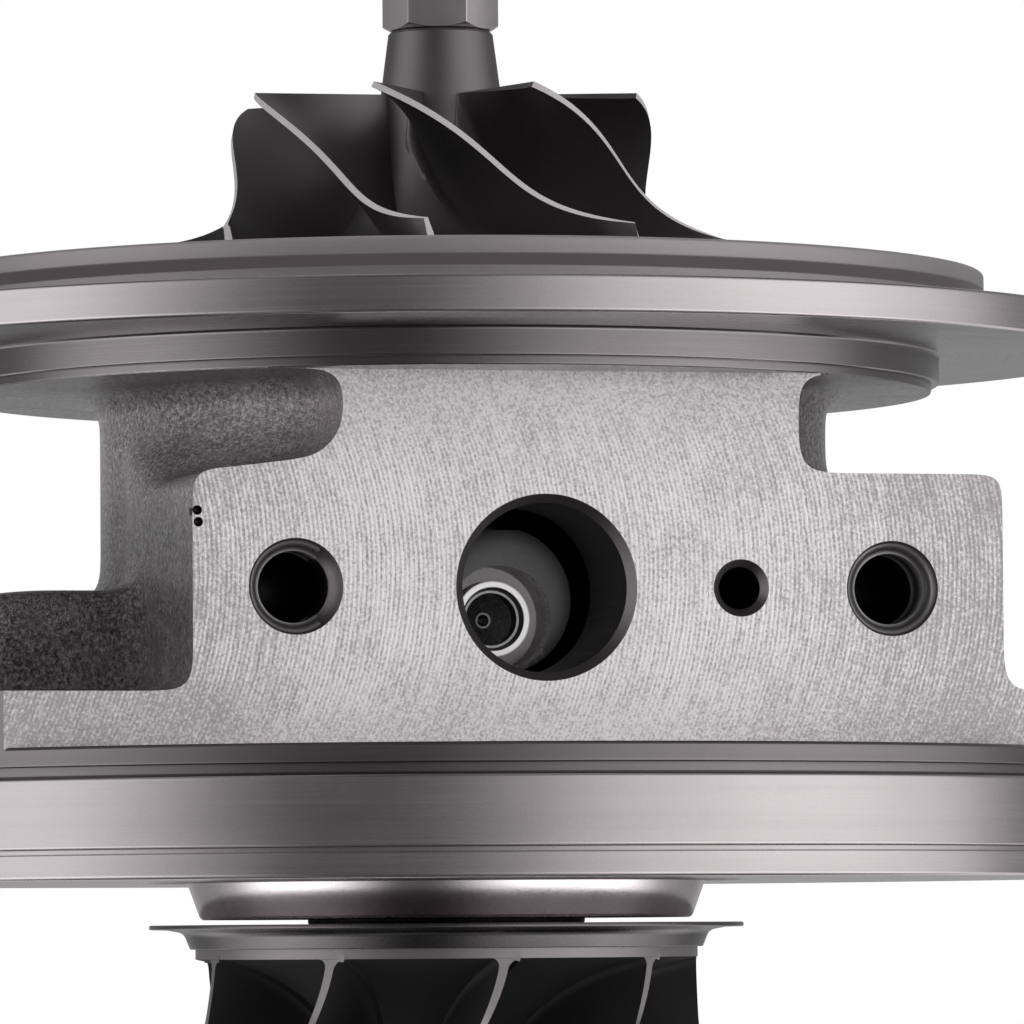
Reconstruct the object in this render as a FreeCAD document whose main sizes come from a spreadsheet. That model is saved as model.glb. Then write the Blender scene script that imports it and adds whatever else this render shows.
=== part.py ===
import FreeCAD, Part
import math
import os
import re
import Sketcher

# A turbocharger's centre cartridge, in millimetres. The shaft axis is Z, +Z points to the
# compressor, z = 0 is the lower face of the turbine-side flange, and the machined oil face
# looks towards -Y.

doc = FreeCAD.newDocument("turbo_cartridge")
sheet = doc.addObject("Spreadsheet::Sheet", "Sizes")

SIZES = [
    # turbine-side flange and the cone under it
    ("turbine_flange_radius", 66.3),
    ("turbine_flange_height", 12.4),
    ("edge_break", 0.3),
    ("lip_height", 2.4),
    ("lip_groove_width", 0.4),
    ("lip_groove_depth", 0.8),
    ("band_height", 7.0),
    ("clamp_groove_width", 0.8),
    ("clamp_groove_depth", 1.3),
    ("top_ring_inset", 0.5),
    ("cone_top_radius", 25.6),
    ("cone_bottom_radius", 24.4),
    ("cone_length", 3.6),
    ("shield_seat_radius", 13.7),
    ("shield_seat_height", 0.5),
    ("seal_nose_radius", 11.0),
    ("seal_nose_length", 1.3),
    # casting between the flanges
    ("housing_height", 55.1),
    ("compressor_flange_radius", 66.3),
    ("compressor_flange_thickness", 3.5),
    ("spigot_radius", 49.2),
    ("spigot_length", 2.8),
    ("spigot_skirt_inset", 0.8),
    ("spigot_skirt_length", 0.8),
    ("barrel_radius", 36.0),
    ("barrel_offset", 2.0),
    ("drum_radius", 52.0),
    ("drum_top", 28.8),
    ("drum_front", 17.0),
    ("apron_top", 17.7),
    # machined oil face
    ("face_inset", 26.3),
    ("face_block_depth", 32.0),
    ("face_left", 34.2),
    ("face_right", 45.2),
    ("face_shoulder_drop", 8.8),
    ("neck_left", 20.3),
    ("neck_right", 24.9),
    ("face_corner_radius", 4.2),
    ("face_inner_radius", 3.4),
    ("port_height", 27.5),
    ("drain_radius", 8.0),
    ("drain_chamfer", 0.85),
    ("feed_offset", 19.1),
    ("feed_radius", 2.0),
    ("feed_chamfer", 0.7),
    ("line_bolt_left", 24.3),
    ("line_bolt_right", 34.1),
    ("line_bolt_radius", 3.4),
    ("line_bolt_depth", 14.0),
    ("line_bolt_chamfer", 1.1),
    # oil cavity and galleries
    ("cavity_radius", 27.0),
    ("cavity_floor", 14.0),
    ("cavity_roof_drop", 4.5),
    ("carrier_radius", 14.5),
    ("gallery_offset", 6.0),
    ("gallery_rib_radius", 4.6),
    ("cross_drilling_radius", 2.3),
    ("cross_rib_radius", 5.1),
    ("plug_boss_radius", 6.0),
    ("plug_boss_reach", 48.0),
    ("plug_radius", 3.0),
    ("plug_length", 5.0),
    ("thrust_feed_radius", 1.2),
    ("thrust_feed_offset", 11.0),
    ("end_chamber_radius", 11.5),
    ("drain_window_width", 10.0),
    ("pin_boss_radius", 7.1),
    ("pin_boss_rise", 1.7),
    ("pin_boss_flat_rise", 8.5),
    ("pin_boss_face", 22.0),
    ("pin_spot_radius", 5.1),
    ("pin_spot_depth", 5.5),
    # journal bearing and its pin
    ("bearing_foot_gap", 4.1),
    ("bearing_end_gap", 1.9),
    ("bearing_outer_radius", 7.0),
    ("bearing_relief", 0.5),
    ("bearing_land_length", 9.0),
    ("running_clearance", 0.04),
    ("film_clearance", 0.05),
    ("bearing_oil_hole_radius", 1.0),
    ("pin_radius", 3.7),
    ("pin_mouth_radius", 3.1),
    ("pin_step_radius", 2.8),
    ("pin_mouth_depth", 0.8),
    ("pin_cup_radius", 2.55),
    ("pin_cup_depth", 2.9),
    ("pin_cup_point", 1.1),
    ("pin_tip_radius", 2.4),
    ("pin_top_recess", 2.6),
    ("pin_tip_gap", 1.0),
    ("pin_jet_radius", 0.6),
    # rotor shaft
    ("journal_radius", 4.0),
    ("shaft_waist", 0.4),
    ("stub_radius", 3.0),
    ("stub_reach", 10.6),
    ("thread_relief", 0.3),
    ("seal_hub_radius", 8.5),
    ("seal_hub_top", 3.2),
    ("seal_clearance", 0.1),
    ("ring_width", 1.5),
    ("ring_side_play", 0.1),
    ("ring_groove_depth", 1.4),
    ("ring_inner_gap", 0.3),
    ("ring_split", 3.0),
    ("turbine_ring_first", -3.9),
    ("turbine_ring_pitch", 2.7),
    # thrust stack
    ("collar_height", 2.4),
    ("collar_radius", 8.0),
    ("collar_hub_radius", 4.9),
    ("thrust_seat_depth", 7.5),
    ("thrust_bearing_thickness", 2.8),
    ("thrust_bearing_radius", 17.5),
    ("thrust_play", 0.08),
    ("location_clearance", 0.1),
    ("dowel_radius", 1.5),
    ("dowel_circle", 14.0),
    ("dowel_length", 4.2),
    ("baffle_thickness", 0.8),
    ("flinger_radius", 9.0),
    ("flinger_thickness", 1.2),
    ("flinger_pocket_gap", 1.0),
    ("baffle_gap", 0.4),
    ("sleeve_radius", 6.5),
    ("sleeve_groove_depth", 1.1),
    # seal plate on the compressor side
    ("plate_thickness", 4.6),
    ("rim_radius", 53.7),
    ("rim_height", 1.7),
    ("rim_undercut", 1.0),
    ("face_relief_width", 1.2),
    ("face_relief_depth", 0.4),
    ("plate_pilot_radius", 38.0),
    ("plate_pilot_clearance", 0.05),
    ("o_ring_thickness", 1.6),
    ("o_ring_groove_width", 1.9),
    ("wheel_recess_radius", 29.0),
    ("wheel_recess_depth", 1.8),
    ("wheel_gap", 0.5),
    ("screw_count", 4),
    ("screw_circle", 43.5),
    ("screw_radius", 2.5),
    ("screw_head_radius", 4.2),
    ("screw_head_height", 2.8),
    ("screw_length", 7.5),
    ("screw_socket_flats", 3.0),
    ("screw_socket_depth", 1.6),
    # compressor wheel and its nut
    ("compressor_blades", 8),
    ("compressor_inducer_radius", 20.4),
    ("compressor_exducer_radius", 28.0),
    ("compressor_back_thickness", 1.1),
    ("compressor_exit_width", 4.1),
    ("compressor_inlet_length", 19.45),
    ("compressor_wrap", 61.1),
    ("compressor_phase", -78.5),
    ("compressor_blade_tip", 0.5),
    ("compressor_blade_root", 1.2),
    ("compressor_boss_radius", 8.0),
    ("compressor_boss_length", 1.0),
    ("compressor_hub_flare", 0.9),
    ("compressor_hub_bend", 5.0),
    ("compressor_shroud_bulge", 1.9),
    ("compressor_shroud_drop", 2.9),
    ("compressor_shroud_reach", 10.2),
    ("compressor_shroud_rise", 2.4),
    ("compressor_tip_step", 0.2),
    ("blade_sink", 0.8),
    ("nose_length", 26.0),
    ("nose_radius", 5.2),
    ("bore_clearance", 0.02),
    ("nut_flats", 10.0),
    ("nut_height", 8.0),
    ("nut_chamfer", 0.7),
    ("nut_turn", 12.5),
    # turbine wheel
    ("turbine_blades", 9),
    ("turbine_radius", 24.83),
    ("turbine_back", 6.3),
    ("turbine_rim_thickness", 1.2),
    ("turbine_inlet_width", 7.0),
    ("turbine_exducer_radius", 21.5),
    ("turbine_length", 20.7),
    ("turbine_hub_radius", 7.2),
    ("turbine_wrap", 42.0),
    ("turbine_inlet_lean", 5.7),
    ("turbine_phase", -1.0),
    ("turbine_blade_tip", 0.8),
    ("turbine_blade_root", 1.7),
    ("turbine_drive_flats", 9.0),
    ("turbine_drive_length", 3.5),
    ("turbine_rim_step", 0.6),
    ("turbine_hub_throat", 9.0),
    ("turbine_hub_drop", 2.0),
    ("turbine_hub_bend", 1.5),
    ("turbine_shroud_bend", 4.0),
    ("turbine_nose_length", 2.0),
    # heat shield
    ("shield_radius", 29.4),
    ("shield_wall_radius", 26.3),
    ("shield_wall_foot_radius", 25.3),
    ("shield_depth", 1.45),
    ("shield_sheet", 0.5),
    ("shield_hole_gap", 0.1),
]

for row, (alias, value) in enumerate(SIZES, start=1):
    sheet.set("A%d" % row, alias)
    sheet.set("B%d" % row, str(value))
    sheet.setAlias("B%d" % row, alias)
doc.recompute()

# Heights and radii that follow from the driving sizes, each written once as an expression.
PLACES = {
    "flange_bottom": "housing_height - compressor_flange_thickness",
    "spigot_bottom": "flange_bottom - spigot_length",
    "neck_top": "spigot_bottom - spigot_skirt_length",
    "rim_top": "housing_height + plate_thickness",
    "face_distance": "turbine_flange_radius - face_inset",
    "face_top": "neck_top - face_shoulder_drop",
    "thrust_seat": "housing_height - thrust_seat_depth",
    "shaft_shoulder": "thrust_seat - collar_height",
    "sleeve_groove_height": "housing_height - sleeve_groove_depth",
    "pilot_bottom": "thrust_seat + thrust_bearing_thickness + baffle_thickness",
    "bearing_bottom": "seal_hub_top + bearing_foot_gap",
    "bearing_top": "shaft_shoulder - bearing_end_gap",
    "bearing_length": "bearing_top - bearing_bottom",
    "bearing_centre": "(bearing_bottom + bearing_top) / 2",
    "pin_boss_height": "bearing_centre + pin_boss_rise",
    "pin_boss_flat": "bearing_centre + pin_boss_flat_rise",
    "bearing_bore": "journal_radius + running_clearance",
    "carrier_bore": "bearing_outer_radius + film_clearance",
    "nose_bottom": "-(cone_length + shield_seat_height + seal_nose_length)",
    "seat_bottom": "-(cone_length + shield_seat_height)",
    "hub_bore": "seal_hub_radius + seal_clearance",
    "groove_width": "ring_width + 2 * ring_side_play",
    "cavity_roof": "neck_top - cavity_roof_drop",
    "cavity_height": "cavity_roof - cavity_floor",
    "gallery_depth": "face_distance - gallery_offset",
    "thrust_top": "thrust_seat + thrust_bearing_thickness",
    "flinger_bottom": "thrust_top + thrust_play",
    "flinger_top": "flinger_bottom + flinger_thickness",
    "wheel_back": "rim_top - wheel_recess_depth + wheel_gap",
    "boss_bottom": "wheel_back - compressor_boss_length",
    "nose_top": "wheel_back + nose_length",
    "shaft_top": "nose_top + stub_reach",
    "sleeve_bore": "sleeve_radius + seal_clearance",
    "rotor_bore": "stub_radius + bore_clearance",
    "turbine_face": "-turbine_back",
    "shield_top": "seat_bottom",
    "shield_hole": "seal_nose_radius + shield_hole_gap",
}

ALIASES = {alias for alias, value in SIZES}


def cell(text):
    """Writes a size or a sum of sizes as an expression on the sheet."""
    def swap(match):
        word = match.group(0)
        if word in PLACES:
            return "(" + cell(PLACES[word]) + ")"
        return "Sizes." + word if word in ALIASES else word
    return re.sub(r"[a-z_]+", swap, text)


def size(text):
    """Works out a size, a place or a sum of them from the sheet."""
    return float(sheet.evalExpression(cell(text)))


def plane_of(body, role):
    """Finds one of a body's own origin planes."""
    for feature in body.Origin.OriginFeatures:
        if feature.Role == role:
            return feature
    raise RuntimeError("no plane " + role)


def outline(body, name, points, plane="XZ_Plane", offset=None):
    """Draws a closed sketch of straight lines whose corners are bound to the sheet."""
    sketch = body.newObject("Sketcher::SketchObject", name)
    sketch.AttachmentSupport = (plane_of(body, plane), "")
    sketch.MapMode = "FlatFace"
    if offset:
        sketch.setExpression("AttachmentOffset.Base.z", cell(offset))
    count = len(points)
    corners = []
    for index in range(count):
        turn = 2 * math.pi * index / count
        corners.append(FreeCAD.Vector(30 * math.cos(turn), 30 * math.sin(turn), 0))
    lines = [Part.LineSegment(corners[i], corners[(i + 1) % count]) for i in range(count)]
    sketch.addGeometry(lines, False)
    rules = []
    for index in range(count):
        rules.append(Sketcher.Constraint("Coincident", index, 2, (index + 1) % count, 1))
    for index, corner in enumerate(corners):
        across = Sketcher.Constraint("DistanceX", -1, 1, index, 1, corner.x)
        across.Name = "across%d" % index
        along = Sketcher.Constraint("DistanceY", -1, 1, index, 1, corner.y)
        along.Name = "along%d" % index
        rules += [across, along]
    sketch.addConstraint(rules)
    for index, (across, along) in enumerate(points):
        sketch.setExpression("Constraints.across%d" % index, cell(across))
        sketch.setExpression("Constraints.along%d" % index, cell(along))
    doc.recompute()
    return sketch


def turned(label, points, angle=None):
    """Revolves an outline of (radius, height) corners about the shaft axis."""
    body = doc.addObject("PartDesign::Body", label)
    body.Label = label
    sketch = outline(body, label + "_section", points)
    turn = body.newObject("PartDesign::Revolution", label + "_turn")
    turn.Profile = sketch
    turn.ReferenceAxis = (sketch, ["V_Axis"])
    turn.Angle = 360
    if angle:
        turn.setExpression("Angle", cell(angle))
    body.Tip = turn
    doc.recompute()
    return body


def place(solid, across, deep, high):
    """Binds a solid's position to the sheet."""
    for axis, text in zip("xyz", (across, deep, high)):
        solid.setExpression(".Placement.Base." + axis, cell(text))


AXES = {
    "Z": FreeCAD.Rotation(),
    "Y": FreeCAD.Rotation(FreeCAD.Vector(1, 0, 0), -90),
    "X": FreeCAD.Rotation(FreeCAD.Vector(0, 1, 0), 90),
}


def rod(label, radius, length, at, axis="Z"):
    """A cylinder from a point, along +X, +Y or +Z."""
    solid = doc.addObject("Part::Cylinder", label)
    solid.Label = label
    solid.setExpression("Radius", cell(radius))
    solid.setExpression("Height", cell(length))
    solid.Placement = FreeCAD.Placement(FreeCAD.Vector(), AXES[axis])
    place(solid, *at)
    return solid


def cone(label, first_radius, last_radius, length, at, axis="Z"):
    """A truncated cone from a point, along +X, +Y or +Z."""
    solid = doc.addObject("Part::Cone", label)
    solid.Label = label
    solid.setExpression("Radius1", cell(first_radius))
    solid.setExpression("Radius2", cell(last_radius))
    solid.setExpression("Height", cell(length))
    solid.Placement = FreeCAD.Placement(FreeCAD.Vector(), AXES[axis])
    place(solid, *at)
    return solid


def block(label, sides, at):
    """A box with its lowest corner at a point."""
    solid = doc.addObject("Part::Box", label)
    solid.Label = label
    for name, text in zip(("Length", "Width", "Height"), sides):
        solid.setExpression(name, cell(text))
    place(solid, *at)
    return solid


def joined(label, solids):
    """Fuses several solids."""
    fuse = doc.addObject("Part::MultiFuse", label)
    fuse.Label = label
    fuse.Shapes = solids
    fuse.Refine = True
    doc.recompute()
    return fuse


def cut(label, base, tool):
    """Cuts one solid out of another."""
    result = doc.addObject("Part::Cut", label)
    result.Label = label
    result.Base = base
    result.Tool = tool
    result.Refine = True
    doc.recompute()
    return result


def common(label, first, second):
    """Keeps what two solids share."""
    result = doc.addObject("Part::Common", label)
    result.Label = label
    result.Base = first
    result.Tool = second
    result.Refine = True
    doc.recompute()
    return result


parts = []


def keep(solid, label):
    """Names a finished sub-part and lists it for writing."""
    solid.Label = label
    parts.append(solid)
    return solid


def turned_core():
    """The turned stack of the casting: seal nose, cone, flanges and spigot."""
    return turned("turned_core", [
        ("0", "nose_bottom"),
        ("seal_nose_radius", "nose_bottom"),
        ("seal_nose_radius", "seat_bottom"),
        ("shield_seat_radius", "seat_bottom"),
        ("shield_seat_radius", "-cone_length"),
        ("cone_bottom_radius - edge_break", "-cone_length"),
        ("cone_bottom_radius", "edge_break - cone_length"),
        ("cone_top_radius", "0"),
        ("turbine_flange_radius", "0"),
        ("turbine_flange_radius", "lip_height"),
        ("turbine_flange_radius - lip_groove_depth", "lip_height"),
        ("turbine_flange_radius - lip_groove_depth", "lip_height + lip_groove_width"),
        ("turbine_flange_radius - edge_break", "lip_height + lip_groove_width"),
        ("turbine_flange_radius", "lip_height + lip_groove_width + edge_break"),
        ("turbine_flange_radius", "lip_height + band_height"),
        ("turbine_flange_radius - edge_break", "lip_height + band_height + edge_break"),
        ("turbine_flange_radius - clamp_groove_depth", "lip_height + band_height + edge_break"),
        ("turbine_flange_radius - clamp_groove_depth",
         "lip_height + band_height + edge_break + clamp_groove_width"),
        ("turbine_flange_radius - top_ring_inset",
         "lip_height + band_height + edge_break + clamp_groove_width"),
        ("turbine_flange_radius - top_ring_inset", "turbine_flange_height - edge_break"),
        ("turbine_flange_radius - top_ring_inset - edge_break", "turbine_flange_height"),
        ("carrier_radius", "turbine_flange_height"),
        ("carrier_radius", "neck_top"),
        ("spigot_radius - spigot_skirt_inset", "neck_top"),
        ("spigot_radius - spigot_skirt_inset", "spigot_bottom"),
        ("spigot_radius", "spigot_bottom + edge_break"),
        ("spigot_radius", "flange_bottom"),
        ("compressor_flange_radius - edge_break", "flange_bottom"),
        ("compressor_flange_radius", "flange_bottom + edge_break"),
        ("compressor_flange_radius", "housing_height - edge_break"),
        ("compressor_flange_radius - edge_break", "housing_height"),
        ("rim_radius - rim_undercut + face_relief_width", "housing_height"),
        ("rim_radius - rim_undercut + face_relief_width", "housing_height - face_relief_depth"),
        ("rim_radius - rim_undercut", "housing_height - face_relief_depth"),
        ("rim_radius - rim_undercut", "housing_height"),
        ("0", "housing_height"),
    ])


def face_block():
    """The block behind the machined oil face, with its stepped outline."""
    body = doc.addObject("PartDesign::Body", "face_block")
    edge = "pow(turbine_flange_radius; 2) - pow(face_distance; 2)"
    half_chord = "sqrt(" + edge + ") - top_ring_inset"
    sketch = outline(body, "face_outline", [
        ("-(" + half_chord + ")", "turbine_flange_height - edge_break"),
        (half_chord, "turbine_flange_height - edge_break"),
        (half_chord, "apron_top"),
        ("face_right", "apron_top"),
        ("face_right", "face_top"),
        ("neck_right", "face_top"),
        ("neck_right", "neck_top + edge_break"),
        ("-neck_left", "neck_top + edge_break"),
        ("-neck_left", "face_top"),
        ("-face_left", "face_top"),
        ("-face_left", "apron_top"),
        ("-(" + half_chord + ")", "apron_top"),
    ], offset="face_distance")
    pad = body.newObject("PartDesign::Pad", "face_pad")
    pad.Profile = sketch
    pad.setExpression("Length", cell("face_block_depth"))
    pad.Reversed = True
    body.Tip = pad
    doc.recompute()
    inner = [("neck_right", "face_top"), ("-neck_left", "face_top"),
             ("face_right", "apron_top"), ("-face_left", "apron_top")]
    outer = [("face_right", "face_top"), ("-face_left", "face_top")]
    for name, corners, radius in (("inner_corners", inner, "face_inner_radius"),
                                  ("outer_corners", outer, "face_corner_radius")):
        base = body.Tip
        fillet = body.newObject("PartDesign::Fillet", name)
        fillet.Base = (base, deep_edges(base.Shape, corners))
        fillet.setExpression("Radius", cell(radius))
        body.Tip = fillet
        doc.recompute()
    return body


def deep_edges(shape, corners):
    """Finds the edges that run along Y at the given corners."""
    names = []
    for across, along in corners:
        spot = (size(across), size(along))
        for index, edge in enumerate(shape.Edges, start=1):
            ends = [vertex.Point for vertex in edge.Vertexes]
            if len(ends) == 2 and all(abs(p.x - spot[0]) < 0.01 and abs(p.z - spot[1]) < 0.01
                                      for p in ends):
                names.append("Edge%d" % index)
    if len(names) != len(corners):
        raise RuntimeError("a corner edge of the face block is missing")
    return names


def casting():
    """The whole casting before its cavity and drillings are cut."""
    core = turned_core()
    round_barrel = rod("round_barrel", "barrel_radius",
                       "neck_top + edge_break - turbine_flange_height + edge_break",
                       ("barrel_offset", "0", "turbine_flange_height - edge_break"))
    barrel_clip = block("barrel_clip", ("2 * (barrel_radius + barrel_offset)",
                                        "face_distance + barrel_radius", "housing_height"),
                        ("-(barrel_radius + barrel_offset)", "-face_distance", "0"))
    barrel = common("barrel", round_barrel, barrel_clip)
    drum = rod("drum", "drum_radius", "drum_top - turbine_flange_height + edge_break",
               ("0", "0", "turbine_flange_height - edge_break"))
    drum_clip = block("drum_clip", ("2 * drum_radius", "drum_front + drum_radius", "drum_top"),
                      ("-drum_radius", "-drum_front", "0"))
    drum_back = common("drum_back", drum, drum_clip)
    apron = rod("apron", "turbine_flange_radius - top_ring_inset",
                "apron_top - turbine_flange_height + edge_break",
                ("0", "0", "turbine_flange_height - edge_break"))
    apron_clip = block("apron_clip", ("2 * turbine_flange_radius", "face_distance + drum_front",
                                      "apron_top"),
                       ("-turbine_flange_radius", "-face_distance", "0"))
    apron_front = common("apron_front", apron, apron_clip)
    plug_boss = rod("plug_boss", "plug_boss_radius", "plug_boss_reach - barrel_radius / 2",
                    ("barrel_radius / 2", "-gallery_offset", "port_height"), "X")
    return joined("casting", [core, barrel, drum_back, apron_front, face_block(), plug_boss])


def cavity_core():
    """The sand core of the oil cavity: the hollow less all that stands in it."""
    hollow = rod("cavity_hollow", "cavity_radius", "cavity_height", ("0", "0", "cavity_floor"))
    carrier = rod("carrier", "carrier_radius", "cavity_height", ("0", "0", "cavity_floor"))
    feed_rib = rod("feed_rib", "gallery_rib_radius", "gallery_depth",
                   ("feed_offset", "-face_distance", "port_height"), "Y")
    cross_rib = rod("cross_rib", "cross_rib_radius", "cavity_radius",
                    ("carrier_radius / 2", "-gallery_offset", "port_height"), "X")
    pin_boss = rod("pin_boss", "pin_boss_radius", "pin_boss_face - carrier_radius / 2",
                   ("0", "-pin_boss_face", "pin_boss_height"), "Y")
    flat = block("pin_boss_flat_cut",
                 ("2 * pin_boss_radius", "2 * pin_boss_face", "pin_boss_radius"),
                 ("-pin_boss_radius", "-2 * pin_boss_face", "pin_boss_flat"))
    flat_boss = cut("flat_boss", pin_boss, flat)
    standing = joined("cavity_standing", [carrier, feed_rib, cross_rib, flat_boss])
    return cut("cavity_core", hollow, standing)


def housing_tools():
    """Every drilling and bore of the housing."""
    tools = []
    tools.append(rod("nose_bore", "hub_bore", "bearing_bottom + film_clearance - nose_bottom",
                     ("0", "0", "nose_bottom - film_clearance")))
    tools.append(rod("turbine_chamber", "end_chamber_radius",
                     "bearing_bottom - seal_hub_top + 2 * edge_break",
                     ("0", "0", "seal_hub_top - 2 * edge_break")))
    tools.append(rod("carrier_hole", "carrier_bore", "bearing_length + shaft_shoulder - bearing_top",
                     ("0", "0", "bearing_bottom")))
    tools.append(rod("compressor_chamber", "end_chamber_radius",
                     "thrust_seat - shaft_shoulder + collar_hub_radius / 4",
                     ("0", "0", "shaft_shoulder - collar_hub_radius / 4")))
    tools.append(rod("thrust_seat_bore", "thrust_bearing_radius + location_clearance",
                     "housing_height - thrust_seat", ("0", "0", "thrust_seat")))
    tools.append(rod("plate_pilot_bore", "plate_pilot_radius",
                     "housing_height - pilot_bottom + edge_break",
                     ("0", "0", "pilot_bottom")))
    tools.append(block("turbine_window",
                       ("drain_window_width", "cavity_radius - carrier_bore",
                        "cavity_floor - seal_hub_top"),
                       ("-drain_window_width / 2", "-(cavity_radius - edge_break)",
                        "seal_hub_top + edge_break")))
    tools.append(block("compressor_window",
                       ("drain_window_width", "cavity_radius - carrier_bore",
                        "shaft_shoulder - cavity_roof + edge_break"),
                       ("-drain_window_width / 2", "-(cavity_radius - edge_break)",
                        "cavity_roof - edge_break")))
    drain_length = "face_distance - pin_boss_face - drain_chamfer"
    tools.append(rod("drain_hole", "drain_radius", drain_length,
                     ("0", "-face_distance", "port_height"), "Y"))
    tools.append(cone("drain_mouth", "drain_radius + drain_chamfer", "drain_radius", "drain_chamfer",
                      ("0", "-face_distance", "port_height"), "Y"))
    tools.append(rod("feed_hole", "feed_radius", "gallery_depth",
                     ("feed_offset", "-face_distance", "port_height"), "Y"))
    tools.append(cone("feed_mouth", "feed_radius + feed_chamfer", "feed_radius", "feed_chamfer",
                      ("feed_offset", "-face_distance", "port_height"), "Y"))
    tools.append(rod("cross_drilling", "cross_drilling_radius", "plug_boss_reach",
                     ("journal_radius", "-gallery_offset", "port_height"), "X"))
    tools.append(rod("plug_seat", "plug_radius", "plug_length",
                     ("plug_boss_reach - plug_length", "-gallery_offset", "port_height"), "X"))
    tools.append(rod("thrust_drilling", "thrust_feed_radius", "thrust_seat - port_height",
                     ("thrust_feed_offset", "-gallery_offset", "port_height")))
    for side, offset in (("left", "-line_bolt_left"), ("right", "line_bolt_right")):
        tools.append(rod("line_bolt_hole_" + side, "line_bolt_radius", "line_bolt_depth",
                         (offset, "-face_distance", "port_height"), "Y"))
        tools.append(cone("line_bolt_mouth_" + side, "line_bolt_radius + line_bolt_chamfer",
                          "line_bolt_radius", "line_bolt_chamfer",
                          (offset, "-face_distance", "port_height"), "Y"))
    tools.append(rod("pin_spot", "pin_spot_radius", "pin_spot_depth",
                     ("0", "-pin_boss_face", "bearing_centre"), "Y"))
    tools.append(rod("pin_hole", "pin_radius", "pin_boss_face - journal_radius",
                     ("0", "-pin_boss_face", "bearing_centre"), "Y"))
    return tools


def ring_of(label, count, radius, length, circle, bottom, start=45.0):
    """Cylinders on a circle about the shaft axis, read from the sheet."""
    solids = []
    for index in range(count):
        turn = math.radians(start + 360.0 * index / count)
        solid = doc.addObject("Part::Cylinder", "%s_%d" % (label, index + 1))
        solid.setExpression("Radius", cell(radius))
        solid.setExpression("Height", cell(length))
        place(solid, "%s * %.9f" % (circle, math.cos(turn)),
              "%s * %.9f" % (circle, math.sin(turn)), bottom)
        solids.append(solid)
    return solids


def bearing_housing():
    """The cast housing with its cavity, bores, drillings and tapped holes."""
    tools = housing_tools()
    tools.append(cavity_core())
    tools += ring_of("screw_hole", int(size("screw_count")), "screw_radius + bore_clearance",
                     "screw_length", "screw_circle",
                     "rim_top - screw_head_height - screw_length")
    tools += ring_of("dowel_hole", 2, "dowel_radius", "dowel_length / 2", "dowel_circle",
                     "thrust_seat - dowel_length / 2", start=20.0)
    return keep(cut("housing", casting(), joined("housing_tools", tools)), "bearing_housing")


def seal_plate():
    """The compressor-side plate: rim, pilot, wheel recess, seal bore and screw holes."""
    pilot = "plate_pilot_radius - plate_pilot_clearance"
    groove = pilot + " - o_ring_thickness"
    groove_low = "(pilot_bottom + housing_height) / 2 - o_ring_groove_width / 2"
    groove_high = "(pilot_bottom + housing_height) / 2 + o_ring_groove_width / 2"
    disc = turned("seal_plate_turning", [
        ("sleeve_bore", "flinger_top + 2 * edge_break"),
        ("flinger_radius + flinger_pocket_gap", "flinger_top + 2 * edge_break"),
        ("flinger_radius + flinger_pocket_gap", "pilot_bottom"),
        (pilot + " - edge_break", "pilot_bottom"),
        (pilot, "pilot_bottom + edge_break"),
        (pilot, groove_low),
        (groove, groove_low),
        (groove, groove_high),
        (pilot, groove_high),
        (pilot, "housing_height"),
        ("rim_radius - rim_undercut", "housing_height"),
        ("rim_radius - rim_undercut", "rim_top - rim_height - rim_undercut"),
        ("rim_radius", "rim_top - rim_height"),
        ("rim_radius", "rim_top - edge_break"),
        ("rim_radius - edge_break", "rim_top"),
        ("wheel_recess_radius", "rim_top"),
        ("wheel_recess_radius", "rim_top - wheel_recess_depth"),
        ("compressor_boss_radius + flinger_pocket_gap", "rim_top - wheel_recess_depth"),
        ("compressor_boss_radius + flinger_pocket_gap", "boss_bottom - wheel_gap"),
        ("sleeve_bore", "boss_bottom - wheel_gap"),
    ])
    count = int(size("screw_count"))
    holes = ring_of("screw_clearance", count, "screw_radius + location_clearance",
                    "plate_thickness", "screw_circle", "housing_height")
    holes += ring_of("screw_pocket", count, "screw_head_radius + location_clearance",
                     "screw_head_height + edge_break", "screw_circle",
                     "rim_top - screw_head_height")
    return keep(cut("plate_cut", disc, joined("plate_holes", holes)), "seal_plate")


def seal_plate_o_ring():
    """The rubber ring in the pilot's groove."""
    ring = doc.addObject("Part::Torus", "seal_plate_o_ring")
    pilot = "plate_pilot_radius - plate_pilot_clearance"
    ring.setExpression("Radius1", cell(pilot + " - o_ring_thickness / 2"))
    ring.setExpression("Radius2", cell("o_ring_thickness / 2"))
    place(ring, "0", "0", "(pilot_bottom + housing_height) / 2")
    return keep(ring, "seal_plate_o_ring")


def seal_plate_screws():
    """Low-headed socket screws that hold the seal plate to the housing."""
    count = int(size("screw_count"))
    shanks = ring_of("screw_shank", count, "screw_radius", "screw_length", "screw_circle",
                     "rim_top - screw_head_height - screw_length")
    heads = ring_of("screw_head", count, "screw_head_radius", "screw_head_height",
                    "screw_circle", "rim_top - screw_head_height")
    for index in range(count):
        turn = math.radians(45.0 + 360.0 * index / count)
        socket = doc.addObject("Part::Prism", "screw_socket_%d" % (index + 1))
        socket.Polygon = 6
        socket.setExpression("Circumradius", cell("screw_socket_flats / sqrt(3)"))
        socket.setExpression("Height", cell("screw_socket_depth"))
        place(socket, "screw_circle * %.9f" % math.cos(turn),
              "screw_circle * %.9f" % math.sin(turn), "rim_top - screw_socket_depth")
        whole = joined("screw_blank_%d" % (index + 1), [shanks[index], heads[index]])
        keep(cut("screw_cut_%d" % (index + 1), whole, socket), "seal_plate_screw_%d" % (index + 1))


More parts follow.
